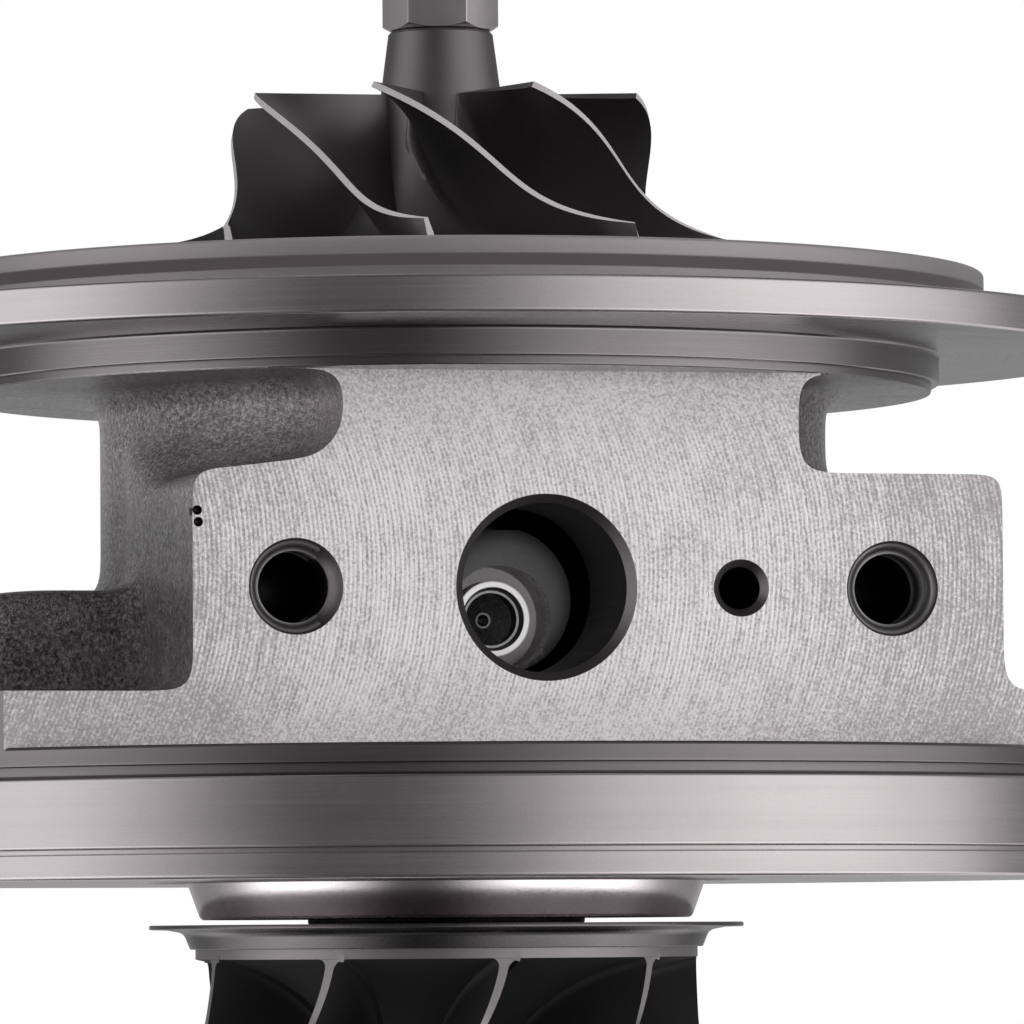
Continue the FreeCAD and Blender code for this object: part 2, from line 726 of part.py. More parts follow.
def thrust_bearing():
    """The fixed bronze thrust plate, with its oil feed hole and two dowel holes."""
    plate = turned("thrust_plate", [
        ("collar_hub_radius + location_clearance", "thrust_seat"),
        ("thrust_bearing_radius", "thrust_seat"),
        ("thrust_bearing_radius", "thrust_top"),
        ("collar_hub_radius + location_clearance", "thrust_top"),
    ])
    holes = ring_of("dowel_clearance", 2, "dowel_radius + running_clearance",
                    "thrust_bearing_thickness", "dowel_circle", "thrust_seat", start=20.0)
    holes.append(rod("thrust_oil_hole", "thrust_feed_radius", "thrust_bearing_thickness / 2",
                     ("thrust_feed_offset", "-gallery_offset", "thrust_seat")))
    return keep(cut("thrust_cut", plate, joined("thrust_holes", holes)), "thrust_bearing")


def thrust_dowels():
    """Two dowels that stop the thrust bearing from turning."""
    dowels = ring_of("dowel", 2, "dowel_radius", "dowel_length", "dowel_circle",
                     "thrust_seat - dowel_length / 2", start=20.0)
    for index, dowel in enumerate(dowels, start=1):
        keep(dowel, "thrust_dowel_%d" % index)


def oil_baffle():
    """The thin plate that keeps flung oil off the seal."""
    return keep(turned("baffle_turning", [
        ("flinger_radius + baffle_gap", "thrust_top"),
        ("thrust_bearing_radius", "thrust_top"),
        ("thrust_bearing_radius", "pilot_bottom"),
        ("flinger_radius + baffle_gap", "pilot_bottom"),
    ]), "oil_baffle")


def thrust_collar():
    """The hardened collar that runs under the thrust bearing, with its hub through it."""
    return keep(turned("collar_turning", [
        ("rotor_bore", "shaft_shoulder"),
        ("collar_radius - edge_break", "shaft_shoulder"),
        ("collar_radius", "shaft_shoulder + edge_break"),
        ("collar_radius", "thrust_seat - thrust_play"),
        ("collar_hub_radius", "thrust_seat - thrust_play"),
        ("collar_hub_radius", "flinger_bottom"),
        ("rotor_bore", "flinger_bottom"),
    ]), "thrust_collar")


def oil_flinger():
    """The flinger sleeve, whose groove holds the compressor-side piston ring."""
    groove_foot = "sleeve_radius - ring_groove_depth"
    return keep(turned("flinger_turning", [
        ("rotor_bore", "flinger_bottom"),
        ("flinger_radius - edge_break", "flinger_bottom"),
        ("flinger_radius", "flinger_bottom + edge_break"),
        ("flinger_radius", "flinger_top - edge_break"),
        ("flinger_radius - edge_break", "flinger_top"),
        ("sleeve_radius", "flinger_top"),
        ("sleeve_radius", "sleeve_groove_height"),
        (groove_foot, "sleeve_groove_height"),
        (groove_foot, "sleeve_groove_height + groove_width"),
        ("sleeve_radius", "sleeve_groove_height + groove_width"),
        ("sleeve_radius", "boss_bottom"),
        ("rotor_bore", "boss_bottom"),
    ]), "oil_flinger")


def piston_ring(label, bore, groove_foot, bottom):
    """A split seal ring that sits in the bore and stands clear of its groove."""
    low = bottom + " + ring_side_play"
    return keep(turned(label + "_turning", [
        (groove_foot + " + ring_inner_gap", low),
        (bore, low),
        (bore, low + " + ring_width"),
        (groove_foot + " + ring_inner_gap", low + " + ring_width"),
    ], angle="360 - ring_split"), label)


def journal_bearing():
    """The one-piece journal bearing: two lands, a relieved middle, oil and pin holes."""
    middle_low = "bearing_bottom + bearing_land_length"
    middle_high = "bearing_top - bearing_land_length"
    relief = "bearing_outer_radius - bearing_relief"
    sleeve = turned("bearing_sleeve", [
        ("bearing_bore", "bearing_bottom"),
        ("bearing_outer_radius - edge_break", "bearing_bottom"),
        ("bearing_outer_radius", "bearing_bottom + edge_break"),
        ("bearing_outer_radius", middle_low),
        (relief, middle_low),
        (relief, middle_high),
        ("bearing_outer_radius", middle_high),
        ("bearing_outer_radius", "bearing_top - edge_break"),
        ("bearing_outer_radius - edge_break", "bearing_top"),
        ("bearing_bore", "bearing_top"),
        ("bearing_bore", middle_high),
        ("bearing_bore + bearing_relief", middle_high),
        ("bearing_bore + bearing_relief", middle_low),
        ("bearing_bore", middle_low),
    ])
    holes = [rod("bearing_pin_hole", "pin_tip_radius + 2 * location_clearance", "bearing_outer_radius",
                 ("0", "-bearing_outer_radius", "bearing_centre"), "Y")]
    for end, height in (("lower", "bearing_bottom + bearing_land_length / 2"),
                        ("upper", "bearing_top - bearing_land_length / 2")):
        for axis in ("X", "Y"):
            at = ["0", "0", height]
            at["XY".index(axis)] = "-bearing_outer_radius"
            holes.append(rod("bearing_oil_hole_%s_%s" % (end, axis.lower()), "bearing_oil_hole_radius",
                             "2 * bearing_outer_radius", at, axis))
    return keep(cut("bearing_cut", sleeve, joined("bearing_holes", holes)), "journal_bearing")


def bearing_retaining_pin():
    """The hollow pin, pressed in from the drain, that holds the bearing still."""
    top = "pin_boss_face - pin_top_recess"
    tip = "journal_radius + pin_tip_gap"
    shank = rod("pin_shank", "pin_radius", top + " - carrier_bore - location_clearance",
                ("0", "-(" + top + ")", "bearing_centre"), "Y")
    point = rod("pin_point", "pin_tip_radius", top + " - (" + tip + ")",
                ("0", "-(" + top + ")", "bearing_centre"), "Y")
    mouth = cone("pin_mouth", "pin_mouth_radius", "pin_step_radius", "pin_mouth_depth",
                 ("0", "-(" + top + ")", "bearing_centre"), "Y")
    cup = rod("pin_cup", "pin_cup_radius", "pin_cup_depth",
              ("0", "-(" + top + ")", "bearing_centre"), "Y")
    cup_point = cone("pin_cup_end", "pin_cup_radius", "pin_jet_radius", "pin_cup_point",
                     ("0", "-(" + top + " - pin_cup_depth)", "bearing_centre"), "Y")
    jet = rod("pin_jet", "pin_jet_radius", top,
              ("0", "-(" + top + ")", "bearing_centre"), "Y")
    blank = joined("pin_blank", [shank, point])
    return keep(cut("pin_cut", blank, joined("pin_holes", [mouth, cup, cup_point, jet])), "bearing_retaining_pin")


def oil_gallery_plug():
    """The plug that closes the cross drilling."""
    return keep(rod("gallery_plug", "plug_radius", "plug_length - edge_break",
                    ("plug_boss_reach - plug_length", "-gallery_offset", "port_height"), "X"),
                "oil_gallery_plug")


def rotor_shaft():
    """The shaft with its seal hub, two ring grooves, journals, shoulder and threaded stub."""
    hub_foot = "seal_hub_radius - ring_groove_depth"
    second = "turbine_ring_first + turbine_ring_pitch"
    waist = "journal_radius - shaft_waist"
    waist_low = "bearing_bottom + bearing_land_length"
    waist_high = "bearing_top - bearing_land_length"
    return keep(turned("shaft_turning", [
        ("0", "turbine_face"),
        ("seal_hub_radius", "turbine_face"),
        ("seal_hub_radius", "turbine_ring_first"),
        (hub_foot, "turbine_ring_first"),
        (hub_foot, "turbine_ring_first + groove_width"),
        ("seal_hub_radius", "turbine_ring_first + groove_width"),
        ("seal_hub_radius", second),
        (hub_foot, second),
        (hub_foot, second + " + groove_width"),
        ("seal_hub_radius", second + " + groove_width"),
        ("seal_hub_radius", "seal_hub_top - edge_break"),
        ("seal_hub_radius - edge_break", "seal_hub_top"),
        (waist, "seal_hub_top"),
        (waist, "bearing_bottom - edge_break"),
        ("journal_radius", "bearing_bottom"),
        ("journal_radius", waist_low),
        (waist, waist_low + " + edge_break"),
        (waist, waist_high + " - edge_break"),
        ("journal_radius", waist_high),
        ("journal_radius", "shaft_shoulder"),
        ("stub_radius", "shaft_shoulder"),
        ("stub_radius", "shaft_top - edge_break - thread_relief"),
        ("stub_radius - edge_break - thread_relief", "shaft_top"),
        ("0", "shaft_top"),
    ]), "rotor_shaft")


def bezier(points, fraction):
    """A point on a Bezier curve, by repeated halving towards its control points."""
    level = [tuple(point) for point in points]
    while len(level) > 1:
        level = [tuple((1 - fraction) * a + fraction * b for a, b in zip(first, last))
                 for first, last in zip(level, level[1:])]
    return level[0]


def polar(radius, turn, height):
    """A point from its radius, its turn from -Y towards +X in degrees, and its height."""
    angle = math.radians(turn)
    return FreeCAD.Vector(radius * math.sin(angle), -radius * math.cos(angle), height)


def blade(root_line, tip_line, root_turn, tip_turn, root_thickness, tip_thickness, sink, stations=9):
    """One blade: a loft through thin four-sided sections from its root to its tip line."""
    sections = []
    for index in range(stations):
        fraction = index / (stations - 1)
        ahead = min(fraction + 0.01, 1.0)
        behind = max(fraction - 0.01, 0.0)
        root = polar(*point_on(root_line, root_turn, fraction))
        tip = polar(*point_on(tip_line, tip_turn, fraction))
        run = polar(*point_on(tip_line, tip_turn, ahead)) - polar(*point_on(tip_line, tip_turn, behind))
        root_run = polar(*point_on(root_line, root_turn, ahead))
        root_run -= polar(*point_on(root_line, root_turn, behind))
        span = (tip - root).normalize()
        side = (run.normalize() + root_run.normalize()).cross(span).normalize()
        root_side = side * (root_thickness / 2)
        tip_side = side * (tip_thickness / 2)
        foot = root - span * sink
        corners = [foot - root_side, foot + root_side, tip + tip_side, tip - tip_side]
        sections.append(Part.makePolygon(corners + corners[:1]))
    return Part.makeLoft(sections, True, False)


def point_on(line, turns, fraction):
    """Radius, turn and height on a blade's edge line."""
    radius, height = bezier(line, fraction)
    turn = bezier([(value,) for value in turns], fraction)[0]
    return radius, turn, height


def bladed(label, hub_body, shape, count):
    """Fuses a ring of equal blades onto a turned hub."""
    blades = doc.addObject("Part::Feature", label + "_blades")
    copies = []
    for index in range(count):
        copy = shape.copy()
        copy.rotate(FreeCAD.Vector(), FreeCAD.Vector(0, 0, 1), 360.0 * index / count)
        copies.append(copy)
    blades.Shape = Part.makeCompound(copies)
    wheel = doc.addObject("Part::MultiFuse", label + "_wheel")
    wheel.Shapes = [hub_body, blades]
    wheel.Refine = False
    doc.recompute()
    return keep(wheel, label)


def spun_hub(label, curve_points, corners):
    """Revolves a hub whose flow side is a smooth curve and whose other sides are straight."""
    curve = Part.BSplineCurve()
    curve.interpolate([FreeCAD.Vector(radius, 0, height) for radius, height in curve_points])
    edges = [curve.toShape()]
    chain = [curve_points[-1]] + corners + [curve_points[0]]
    for first, last in zip(chain, chain[1:]):
        edges.append(Part.LineSegment(FreeCAD.Vector(first[0], 0, first[1]),
                                      FreeCAD.Vector(last[0], 0, last[1])).toShape())
    face = Part.Face(Part.Wire(Part.__sortEdges__(edges)))
    hub = doc.addObject("Part::Feature", label)
    hub.Shape = face.revolve(FreeCAD.Vector(), FreeCAD.Vector(0, 0, 1), 360)
    return hub


def compressor_wheel():
    """The compressor wheel: curved hub, flat back, boss and swept full blades."""
    back = size("wheel_back")
    exit_root = back + size("compressor_back_thickness")
    exit_tip = exit_root + size("compressor_exit_width")
    inlet = back + size("compressor_inlet_length")
    nose = size("nose_radius")
    inducer = size("compressor_inducer_radius")
    exducer = size("compressor_exducer_radius")
    flare = size("compressor_hub_flare")
    break_size = size("edge_break")
    hub_line = [(nose + flare, inlet - flare),
                (nose + 1.5 * flare, (inlet + 2 * exit_root) / 3),
                (nose + size("compressor_hub_bend"), exit_root + break_size),
                (exducer, exit_root)]
    tip_line = [(inducer, inlet),
                (inducer + size("compressor_shroud_bulge"), inlet - size("compressor_shroud_drop")),
                (exducer - size("compressor_shroud_reach"), exit_tip + size("compressor_shroud_rise")),
                (exducer - size("compressor_tip_step"), exit_tip)]
    bore = size("stub_radius") + size("bore_clearance")
    boss_radius = size("compressor_boss_radius")
    boss = back - size("compressor_boss_length")
    top = size("nose_top")
    hub = spun_hub("compressor_hub", [bezier(hub_line, step / 12) for step in range(13)], [
        (exducer, back), (boss_radius, back), (boss_radius, boss), (bore, boss), (bore, top),
        (nose - break_size, top), (nose, top - break_size)])
    wrap = size("compressor_wrap")
    phase = size("compressor_phase")
    tip_turn = [phase + wrap * share for share in (0.0, 0.22, 0.65, 0.60, 1.0)]
    root_turn = [phase + wrap * share for share in (0.0, 0.22, 0.65, 0.66, 1.04)]
    shape = blade(hub_line, tip_line, root_turn, tip_turn, size("compressor_blade_root"),
                  size("compressor_blade_tip"), size("blade_sink"))
    return bladed("compressor_wheel", hub, shape, int(size("compressor_blades")))


def turbine_wheel():
    """The turbine wheel: rim disc, curved hub, leaned blades and a hexagonal drive nose."""
    face_height = -size("turbine_back")
    radius = size("turbine_radius")
    rim = face_height - size("turbine_rim_thickness")
    outlet = rim - size("turbine_length")
    inlet_end = rim - size("turbine_inlet_width")
    hub_radius = size("turbine_hub_radius")
    drop = size("turbine_hub_drop")
    bend = size("turbine_shroud_bend")
    break_size = size("edge_break")
    hub_line = [(radius - size("turbine_rim_step"), rim),
                (radius - size("turbine_hub_throat"), rim - drop),
                (hub_radius + size("turbine_hub_bend"), rim - 3 * drop),
                (hub_radius, outlet)]
    tip_line = [(radius, inlet_end),
                (radius - break_size, inlet_end - bend),
                (size("turbine_exducer_radius"), inlet_end - bend),
                (size("turbine_exducer_radius"), outlet)]
    nose_length = size("turbine_nose_length")
    hub = spun_hub("turbine_hub", [bezier(hub_line, step / 12) for step in range(13)], [
        (hub_radius - nose_length / 2, outlet - nose_length), (0.0, outlet - nose_length),
        (0.0, face_height), (radius, face_height), (radius, rim)])
    drive_radius = size("turbine_drive_flats") / math.sqrt(3)
    drive = Part.makePolygon([polar(drive_radius, 60 * step, outlet) for step in range(7)])
    drive_length = nose_length + size("turbine_drive_length")
    hub.Shape = hub.Shape.fuse(Part.Face(drive).extrude(FreeCAD.Vector(0, 0, -drive_length)))
    phase = size("turbine_phase")
    lean = size("turbine_inlet_lean")
    wrap = size("turbine_wrap")
    root_turn = [phase, phase, phase - wrap / 3, phase - wrap * 4 / 5]
    tip_turn = [phase - lean, phase - 2 * lean, phase - wrap * 3 / 5, phase - lean - wrap]
    shape = blade(hub_line, tip_line, root_turn, tip_turn, size("turbine_blade_root"),
                  size("turbine_blade_tip"), size("blade_sink"))
    return bladed("turbine_wheel", hub, shape, int(size("turbine_blades")))


def lock_nut():
    """The hexagonal nut on the stub, with its lower corners chamfered."""
    prism = doc.addObject("Part::Prism", "nut_prism")
    prism.Polygon = 6
    prism.setExpression("Circumradius", cell("nut_flats / sqrt(3)"))
    prism.setExpression("Height", cell("nut_height"))
    prism.Placement = FreeCAD.Placement(FreeCAD.Vector(), FreeCAD.Rotation(FreeCAD.Vector(0, 0, 1),
                                                                           size("nut_turn") + 30))
    place(prism, "0", "0", "nose_top")
    turning = turned("nut_turning", [
        ("rotor_bore", "nose_top"),
        ("nut_flats / 2 - edge_break", "nose_top"),
        ("nut_flats / sqrt(3) + edge_break", "nose_top + nut_chamfer"),
        ("nut_flats / sqrt(3) + edge_break", "nose_top + nut_height - nut_chamfer"),
        ("nut_flats / 2 - edge_break", "nose_top + nut_height"),
        ("rotor_bore", "nose_top + nut_height"),
    ])
    return keep(common("nut_common", prism, turning), "lock_nut")


def heat_shield():
    """The pressed heat shield: flat rim, downward wall and a flat web on the seal nose."""
    sheet_under = "shield_top - shield_sheet"
    foot = "shield_top - shield_sheet - shield_depth"
    return keep(turned("shield_turning", [
        ("shield_hole", "shield_top"),
        ("shield_radius", "shield_top"),
        ("shield_radius", sheet_under),
        ("shield_wall_radius", sheet_under),
        ("shield_wall_foot_radius", foot),
        ("shield_wall_foot_radius - shield_sheet", foot),
        ("shield_wall_radius - shield_sheet", sheet_under),
        ("shield_hole", sheet_under),
    ]), "heat_shield")


bearing_housing()
seal_plate()
seal_plate_o_ring()
seal_plate_screws()
thrust_bearing()
thrust_dowels()
oil_baffle()
thrust_collar()
oil_flinger()
piston_ring("compressor_piston_ring", "sleeve_bore", "sleeve_radius - ring_groove_depth",
            "sleeve_groove_height")
piston_ring("turbine_piston_ring_outer", "hub_bore", "seal_hub_radius - ring_groove_depth",
            "turbine_ring_first")
piston_ring("turbine_piston_ring_inner", "hub_bore", "seal_hub_radius - ring_groove_depth",
            "turbine_ring_first + turbine_ring_pitch")
journal_bearing()
bearing_retaining_pin()
oil_gallery_plug()
rotor_shaft()
compressor_wheel()
turbine_wheel()
lock_nut()
heat_shield()

doc.recompute()
for item in doc.Objects:
    if "Invalid" in item.State or "Error" in item.State:
        raise RuntimeError("%s did not recompute: %s" % (item.Label, item.State))
os.makedirs("parts", exist_ok=True)
for item in parts:
    if item.Shape.isNull() or not item.Shape.isValid():
        raise RuntimeError(item.Label + " has no valid shape")
    item.Shape.exportStep("parts/%s.step" % item.Label)
    low = item.Shape.BoundBox
    print("%-28s solids %d  volume %9.1f  z %6.2f to %6.2f" %
          (item.Label, len(item.Shape.Solids), item.Shape.Volume, low.ZMin, low.ZMax))
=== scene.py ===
# %% [markdown]
# # A turbo cartridge
#
# The middle of a turbocharger: a cast oil housing between two turned flanges, with a
# compressor wheel above it and a turbine wheel below it on one shaft. The solid model
# holds every piece at its real size. This lesson dresses it: the visible pieces are
# modelled again with softer casting edges and finer blades, and each surface gets the
# finish that its own tool or mould leaves.

import math

import bpy
import numpy as np
from mathutils import Matrix, Vector


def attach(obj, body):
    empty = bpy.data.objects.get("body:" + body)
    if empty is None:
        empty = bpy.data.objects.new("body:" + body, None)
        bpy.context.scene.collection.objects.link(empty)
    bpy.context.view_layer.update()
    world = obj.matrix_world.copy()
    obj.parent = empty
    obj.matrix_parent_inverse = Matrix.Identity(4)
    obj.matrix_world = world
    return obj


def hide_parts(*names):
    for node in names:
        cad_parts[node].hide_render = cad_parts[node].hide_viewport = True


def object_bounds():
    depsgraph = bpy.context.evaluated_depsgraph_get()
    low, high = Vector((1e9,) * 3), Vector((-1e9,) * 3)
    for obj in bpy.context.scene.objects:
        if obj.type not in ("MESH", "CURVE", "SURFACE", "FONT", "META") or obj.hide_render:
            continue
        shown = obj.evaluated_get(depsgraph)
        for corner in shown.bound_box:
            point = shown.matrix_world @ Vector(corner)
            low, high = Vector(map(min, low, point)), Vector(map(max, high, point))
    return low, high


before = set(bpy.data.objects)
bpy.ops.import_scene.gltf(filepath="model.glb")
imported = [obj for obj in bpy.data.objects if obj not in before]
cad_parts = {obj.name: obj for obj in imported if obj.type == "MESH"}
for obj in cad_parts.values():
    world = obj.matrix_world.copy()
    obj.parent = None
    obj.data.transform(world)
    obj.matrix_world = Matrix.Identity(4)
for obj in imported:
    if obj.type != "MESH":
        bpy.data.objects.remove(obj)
cad_low, cad_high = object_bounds()
MM = 0.001
print("the solid model spans", [round((b - a) / MM, 1) for a, b in zip(cad_low, cad_high)], "mm")

# %% [markdown]
# ## The camera
#
# The photograph was taken from a little left of the oil face, level with the bottom
# flange, through a long lens. A long lens keeps the flanges nearly straight, so the
# camera stands 0.8 m away and looks up by 3 degrees. It leans by under half a degree.

# %% Set the camera
CAMERA_PLACE = Vector((-197.8, -790.1, -5.3)) * MM
CAMERA_TURN = 14.532
CAMERA_RISE = 2.947
CAMERA_LEAN = 0.413
LENS = 289.06


def placed(name, data):
    """A new object with this data, in the scene."""
    made = bpy.data.objects.new(name, data)
    bpy.context.scene.collection.objects.link(made)
    return made


def camera_frame(turn, rise, lean):
    """The camera's own right, up and back directions, from its angles in degrees."""
    turn, rise, lean = (math.radians(angle) for angle in (turn, rise, lean))
    ahead = Vector(
        (
            math.sin(turn) * math.cos(rise),
            math.cos(turn) * math.cos(rise),
            math.sin(rise),
        )
    )
    level = Vector((math.cos(turn), -math.sin(turn), 0))
    upright = level.cross(ahead)
    right = level * math.cos(lean) - upright * math.sin(lean)
    up = upright * math.cos(lean) + level * math.sin(lean)
    return Matrix((right, up, -ahead)).transposed()


camera_data = bpy.data.cameras.new("camera")
camera_data.lens = LENS
camera_data.sensor_width = 36
camera_data.clip_start = 0.05
camera_data.clip_end = 50
camera = placed("camera", camera_data)
camera.matrix_world = (
    Matrix.Translation(CAMERA_PLACE)
    @ camera_frame(CAMERA_TURN, CAMERA_RISE, CAMERA_LEAN).to_4x4()
)
bpy.context.scene.camera = camera
bpy.context.scene.view_settings.view_transform = "Standard"
print("camera", round(CAMERA_PLACE.length, 3), "m from the origin")

# %% [markdown]
# ## Sums of shader values
#
# A finish is a small tree of nodes. Written as sums it is far easier to read, so one
# class wraps a node's output and turns +, -, * and / into Math nodes. Its method
# `node` adds any other kind: the settings go in first, and then the inputs.

# %% Wrap a socket
class Value:
    """One output socket of a node tree, for use in sums."""

    def __init__(self, tree, socket=None):
        self.tree = tree
        self.socket = socket

    def node(self, kind, settings=None, inputs=None, out=0):
        """Adds a node, gives it its settings and then its inputs, and returns one output."""
        made = self.tree.nodes.new(kind)
        for name, setting in (settings or {}).items():
            setattr(made, name, setting)
        for name, given in (inputs or {}).items():
            if isinstance(given, Value):
                self.tree.links.new(given.socket, made.inputs[name])
            else:
                made.inputs[name].default_value = given
        return Value(self.tree, made.outputs[out])

    def math(self, operation, *terms):
        """A Math node on this value and the other terms."""
        return self.node(
            "ShaderNodeMath", {"operation": operation}, dict(enumerate((self, *terms)))
        )

    def __add__(self, other):
        return self.math("ADD", other)

    __radd__ = __add__

    def __sub__(self, other):
        return self.math("SUBTRACT", other)

    def __rsub__(self, other):
        return self.node("ShaderNodeMath", {"operation": "SUBTRACT"}, {0: other, 1: self})

    def __mul__(self, other):
        return self.math("MULTIPLY", other)

    def __truediv__(self, other):
        return self.math("DIVIDE", other)

    def clamped(self):
        """This value, kept from 0 to 1."""
        return self.node("ShaderNodeClamp", None, {"Value": self})

    def rise(self, low, high):
        """0 below low and 1 above high, with a soft step between."""
        return self.node(
            "ShaderNodeMapRange",
            {"interpolation_type": "SMOOTHSTEP"},
            {"Value": self, "From Min": low, "From Max": high},
        )

    def blend(self, low, high):
        """The colour low where this value is 0, and high where it is 1."""
        return self.node(
            "ShaderNodeMix",
            {"data_type": "RGBA", "clamp_factor": True},
            {0: self, 6: low, 7: high},
            out=2,
        )


# %% [markdown]
# ## Places on the part
#
# Every pattern here follows how the part was made: a lathe leaves rings round the
# shaft, a milling cutter leaves arcs, and sand leaves grain in all directions. So each
# finish starts from the same few numbers: x, y and z in millimetres, the distance
# from the shaft, and noise of a chosen size.

# %% Measure places in a material
class Places:
    """Object coordinates in millimetres, and noise read at them."""

    def __init__(self, tree):
        start = Value(tree)
        point = start.node("ShaderNodeTexCoord", out="Object")
        self.point = point.node(
            "ShaderNodeVectorMath", {"operation": "SCALE"}, {0: point, "Scale": 1 / MM}
        )
        self.x, self.y, self.z = (
            self.point.node("ShaderNodeSeparateXYZ", None, {0: self.point}, out=i)
            for i in range(3)
        )
        self.radius = (self.x * self.x + self.y * self.y).math("SQRT")

    def at(self, x, y, z):
        """A vector from three values."""
        return self.x.node("ShaderNodeCombineXYZ", None, {0: x, 1: y, 2: z})

    def noise(self, size, detail=2.0, roughness=0.5, point=None):
        """Noise from 0 to 1 whose lumps are about size millimetres across."""
        point = point or self.point
        inputs = {"Vector": point, "Scale": 1 / size, "Detail": detail, "Roughness": roughness}
        return self.x.node("ShaderNodeTexNoise", None, inputs)

    def rings(self, size):
        """Noise drawn out round the shaft, as a lathe's feed leaves it."""
        turned = self.at(self.radius, self.z, (self.x + self.y) * 0.01)
        return self.noise(size, detail=3.0, roughness=0.7, point=turned)


# %% [markdown]
# A finish is put together in one place: a Principled shader takes its colour,
# roughness and a bump height in millimetres. Bare metal is fully metallic. A lower
# share stands for a skin of oil, oxide or dirt, or for a surface that looks equally
# light from all sides.

# %% Put a finish together
def new_material(name):
    """An empty node material, its shader node and its measured places."""
    material = bpy.data.materials.new(name)
    material.use_nodes = True
    tree = material.node_tree
    shader = tree.nodes["Principled BSDF"]
    return material, shader, Places(tree)


def give(shader, places, colour, roughness, metallic=1.0, height=None, depth=1.0):
    """Sets the shader's colour, roughness, metal share and bump height in millimetres."""
    tree = places.x.tree
    settings = {"Base Color": colour, "Roughness": roughness, "Metallic": metallic}
    for name, given in settings.items():
        if isinstance(given, Value):
            tree.links.new(given.socket, shader.inputs[name])
        else:
            shader.inputs[name].default_value = given
    if height is not None:
        bump = places.x.node(
            "ShaderNodeBump",
            None,
            {"Strength": 1.0, "Distance": depth * MM, "Height": height},
        )
        tree.links.new(bump.socket, shader.inputs["Normal"])


METAL_BLUSH = 0.07


def grey(level, blush=0.0):
    """A grey as an opaque colour. blush adds a little red, and a touch of blue."""
    return (level * (1 + blush), level, level * (1 + blush * 0.25), 1)


# %% [markdown]
# ## Turned steel
#
# Both flanges, the spigot and the seal plate are finished on a lathe. The rings are a
# few thousandths of a millimetre deep, so they hardly show as lines, but they make
# each highlight streaky. Fine noise drawn out round the shaft does both.

# %% Make the turned finish
def turned_material(name, level, roughness, wear=0.25, metallic=1.0):
    """A lathe's finish: its tone and its gloss both change from ring to ring."""
    material, shader, places = new_material(name)
    feed = places.rings(0.22)
    broad = places.rings(1.6)
    cloud = places.noise(9.0, detail=4.0)
    grain = places.noise(0.35, detail=3.0, roughness=0.7)
    tone = (cloud - 0.5) * wear + (broad - 0.5) * 0.22 + (grain - 0.5) * 0.16
    mask = (tone + 0.5).clamped()
    colour = mask.blend(grey(level * 0.68, METAL_BLUSH), grey(level * 1.2, METAL_BLUSH))
    rough = (feed - 0.5) * 0.16 + (cloud - 0.5) * 0.12 + roughness
    height = feed * 0.6 + grain * 0.3
    give(shader, places, colour, rough, metallic=metallic, height=height, depth=0.014)
    return material


turned = turned_material("turned_steel", 0.6, 0.27)
dull = turned_material("turned_steel_dull", 0.25, 0.34)
# The spigot's steel is a darker copy of the turned steel: painted shade under the flanges.
shaded_spigot_steel = turned_material("turned_spigot_shaded", 0.28, 0.26)
bored_dark = turned_material("dark_bore", 0.09, 0.5)
turned_dark = turned_material("turned_steel_dark", 0.26, 0.36)
shaft_finish = turned_material("ground_shaft", 0.5, 0.2, wear=0.12)
bronze_finish, bronze_shader, places = new_material("bearing_bronze")
give(
    bronze_shader,
    places,
    places.rings(0.4).blend((0.42, 0.25, 0.11, 1), (0.62, 0.4, 0.19, 1)),
    places.noise(3.0) * 0.15 + 0.28,
    height=places.rings(0.3),
    depth=0.01,
)

# %% [markdown]
# ## Sand-cast iron
#
# The casting is shot-blasted iron. It looks dark grey-brown, with a fine crystalline
# grain that sparkles, and broad cloudy marks where the skin is thicker. Small bumps
# at three sizes give the grain, and the finest noise makes single grains smoother. On
# the left, between the drum and the compressor flange, the skin is painted lighter as
# painted light, and under the flange it falls back to the darker colour as painted shade.

# %% Make the cast finish
# Heights and reach of the painted light on the left of the casting, in millimetres.
PAINTED_LIGHT_FOOT = (29.0, 42.0)
PAINTED_LIGHT_TOP = (45.3, 47.0)
PAINTED_LIGHT_LEFT = (6.0, 20.0)


def cast_material(name, level, sparkle):
    """Sand-cast skin, with painted light on the left between the drum and the upper flange."""
    material, shader, places = new_material(name)
    grain = places.noise(0.42, detail=4.0, roughness=0.65)
    lumps = places.noise(2.6, detail=3.0)
    cloud = places.noise(13.0, detail=4.0, roughness=0.6)
    crystal = places.noise(0.16, detail=2.0, roughness=0.8)
    tone = (grain - 0.5) * 2.4 + (cloud - 0.5) * 0.9 + (crystal - 0.5) * 1.6
    mask = (tone + 0.5).clamped()
    shade = mask.blend(grey(level * 0.18, 0.09), grey(level * 1.5, 0.06))
    light = mask.blend(grey(level * 0.8, 0.07), grey(level * 2.7, 0.05))
    # Painted light: the skin is lighter on the left between the drum and the flange, and painted
    # shade darkens it again under the flange.
    painted_light = places.z.rise(*PAINTED_LIGHT_FOOT) * (1 - places.z.rise(*PAINTED_LIGHT_TOP))
    painted_light = painted_light * (0 - places.x).rise(*PAINTED_LIGHT_LEFT)
    colour = painted_light.blend(shade, light)
    rough = 0.22 - crystal.rise(0.5, 0.66) * sparkle
    height = grain * 0.8 + lumps * 0.7 + crystal * 0.5
    give(shader, places, colour, rough, metallic=1.0, height=height, depth=0.36)
    return material


cast = cast_material("cast_iron", 0.35, 0.05)

# %% [markdown]
# ## The milled oil face
#
# A wide cutter crosses the oil face and leaves arcs about 0.45 mm apart, which curve
# like a closing bracket. The place of a point along that row of arcs is its x less
# the arc's own bulge at its height. Near the top and bottom edges the arcs fade into
# the metal's grain, and a few dark pores are left open.

# %% Make the milled finish
ARC_RADIUS = 35.5
ARC_MIDDLE = 29.2
ARC_PITCH = 0.45


